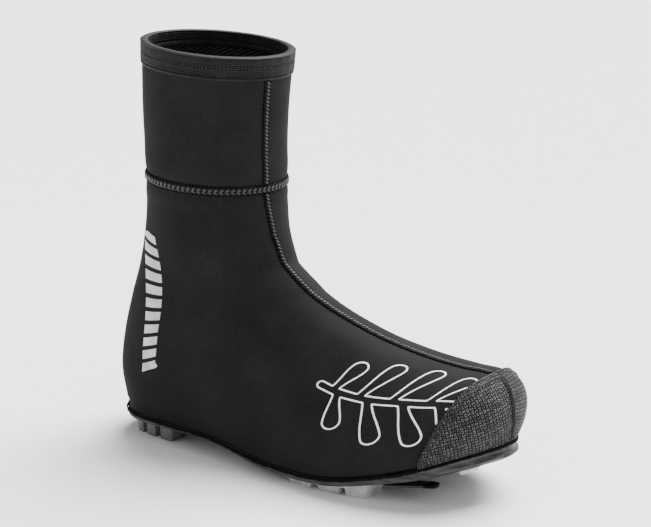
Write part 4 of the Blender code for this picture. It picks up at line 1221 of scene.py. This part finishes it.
def leaf(start, turn, length, side):
    """The outline of a round-ended leaf that grows from one side of the stem at a slant."""
    sin, cos = np.sin(np.radians(turn)), np.cos(np.radians(turn))
    straight = length - LEAF_TIP
    rise = np.linspace(0, 1, 12)
    half = LEAF_NECK + (LEAF_TIP - LEAF_NECK) * rise**2 * (3 - 2 * rise)
    first = (STEM_HALF - LEAF_NECK * cos) / sin
    last = (STEM_HALF + LEAF_NECK * cos) / sin
    cap = np.radians(np.linspace(90, -90, 15))[1:-1]
    ahead = np.concatenate([
        first + (straight - first) * rise,
        straight + LEAF_TIP * np.cos(cap),
        (last + (straight - last) * rise)[::-1],
    ])
    beside = np.concatenate([half, LEAF_TIP * np.sin(cap), -half[::-1]])
    return np.stack([start + ahead * cos - beside * sin, side * (ahead * sin + beside * cos)], 1)


STEM_HALF, LEAF_NECK, LEAF_TIP = 0.0026, 0.0026, 0.0056
outline = []
for side, leaves in (
    (1, ((-0.042, 80, 0.026), (-0.023, 74, 0.033), (-0.001, 68, 0.034), (0.022, 60, 0.029))),
    (-1, ((-0.038, 64, 0.029), (-0.016, 56, 0.038), (0.007, 52, 0.038), (0.030, 48, 0.030))),
):
    part = np.concatenate([leaf(start, turn, length, side) for start, turn, length in leaves])
    outline.append(part if side > 0 else part[::-1])
tip = np.radians(np.linspace(100, -100, 21))[:, None]
front_leaf = (0.058, 0.0) + LEAF_TIP * np.hstack([np.cos(tip), np.sin(tip)])
rear = np.radians(np.linspace(-90, -270, 11))[:, None]
rear_end = (-0.052, 0.0) + STEM_HALF * np.hstack([np.cos(rear), np.sin(rear)])
outline = np.concatenate([outline[0], front_leaf, outline[1], rear_end, outline[0][:1]])
outline[:, 1] += 0.005 * np.sin(outline[:, 0] / 0.028)
run = run_along(outline)
stops = np.linspace(0, run[-1], int(run[-1] / 0.0007) + 2)
path = np.stack([np.interp(stops, run, outline[:, k]) for k in (0, 1)], 1)
ahead = unit(np.gradient(path, axis=0))
sideways = np.stack([-ahead[:, 1], ahead[:, 0]], 1)
places = path[:, None] + sideways[:, None] * (STROKE / 2 * np.linspace(-1, 1, 5))[None, :, None]
t, f = on_print(places[..., 0], places[..., 1])
seam_side = np.interp(t, SEAM_ROWS, SEAM_SHIFT) - 0.36 * FRONT_SEAM_WIDTH / girth_at(t)
cap_side = np.interp(f, CAP_SHARES, CAP_ROWS) - 0.015
shown = (f < seam_side).all(1) & (t < cap_side).all(1) & (f > -0.97).all(1)
breaks = np.flatnonzero(np.diff(np.concatenate([(0,), shown.astype(int), (0,)])))
rise = PRINT_RISE * np.array((0.6, 1, 1, 1, 0.6))
for part, (first, last) in enumerate(zip(breaks[::2], breaks[1::2])):
    if last - first < 3:
        continue
    bit_t, bit_f = t[first:last], f[first:last]
    line = shell(
        f"leaf_line_0_{part}", on_skin(bit_t, bit_f, rise), on_skin(bit_t, bit_f, np.array(-PRINT_ROOT)),
        numbering(*bit_t.shape), np.stack([bit_t, bit_f], -1), (white_print,),
    )
    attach(line, "root")

BAR_START, BAR_END, BAR_MIDDLE = 3.30, 8.75, 5.8
bar_t = np.linspace(BAR_START, BAR_END, 500)
bar_f = -0.59 + 0.0093 * (bar_t - BAR_MIDDLE) - 0.0158 * (bar_t - BAR_MIDDLE) ** 2
run = run_along(skin(bar_t, bar_f)[0])
pitch = BLOCK + BLOCK_GAP
count = int((run[-1] - BLOCK) / pitch) + 1
cross = np.linspace(-1, 1, 9)
for number in range(count):
    stops = number * pitch + BLOCK * np.linspace(0, 1, 7)[:, None] + BLOCK_SLANT * cross
    t = np.interp(stops, run, bar_t)
    f = np.interp(t, bar_t, bar_f) + cross * BAR_WIDTH / 2 / girth_at(t)
    block = shell(
        f"reflective_block_{number}", on_skin(t, f, np.array(PRINT_RISE)), on_skin(t, f, np.array(-PRINT_ROOT)),
        numbering(*t.shape), np.stack([t, f], -1), (reflective,),
    )
    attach(block, "root")

# Floor and light
# A wide pale floor with no edge in sight, one large soft light over the shoe, softer ones from
# both sides, and an even grey sky.
floor_paint, tree, shader = blank("floor_paint", Base_Color=(0.80, 0.80, 0.80, 1), Roughness=0.9)
mesh = bpy.data.meshes.new("floor")
mesh.from_pydata([(-6, -6, 0), (6, -6, 0), (6, 6, 0), (-6, 6, 0)], [], [(0, 1, 2, 3)])
mesh.materials.append(floor_paint)
floor = added("floor", mesh)

world = bpy.data.worlds.new("even sky")
world.use_nodes = True
world.node_tree.nodes["Background"].inputs["Color"].default_value = (1, 1, 1, 1)
world.node_tree.nodes["Background"].inputs["Strength"].default_value = 0.60
bpy.context.scene.world = world


def aimed(name, data, place, target):
    """A lamp or a camera at one place, turned to another."""
    made = added(name, data)
    made.location = place
    made.rotation_euler = (Vector(target) - made.location).to_track_quat("-Z", "Y").to_euler()
    return made


lamp = bpy.data.lights.new("overhead", "SUN")
lamp.energy, lamp.angle = 12.5, 0.85
aimed("overhead", lamp, (0.05, 0.48, 0.88), (0, 0, 0))
for name, place in (("left", (-0.95, -0.90, 0.55)), ("right", (1.10, -0.30, 0.60))):
    lamp = bpy.data.lights.new(name, "AREA")
    lamp.shape, lamp.size, lamp.energy = "DISK", 0.7, 3.0
    aimed(name, lamp, place, (0, 0, 0.12))

lens = bpy.data.cameras.new("camera")
lens.lens, lens.sensor_width, lens.clip_start = 100.04, 36.0, 0.05
CAMERA_PLACE, CAMERA_AIM = (0.67703, -0.90164, 0.41973), (0.02586, -0.02080, 0.13901)
bpy.context.scene.camera = aimed("camera", lens, CAMERA_PLACE, CAMERA_AIM)
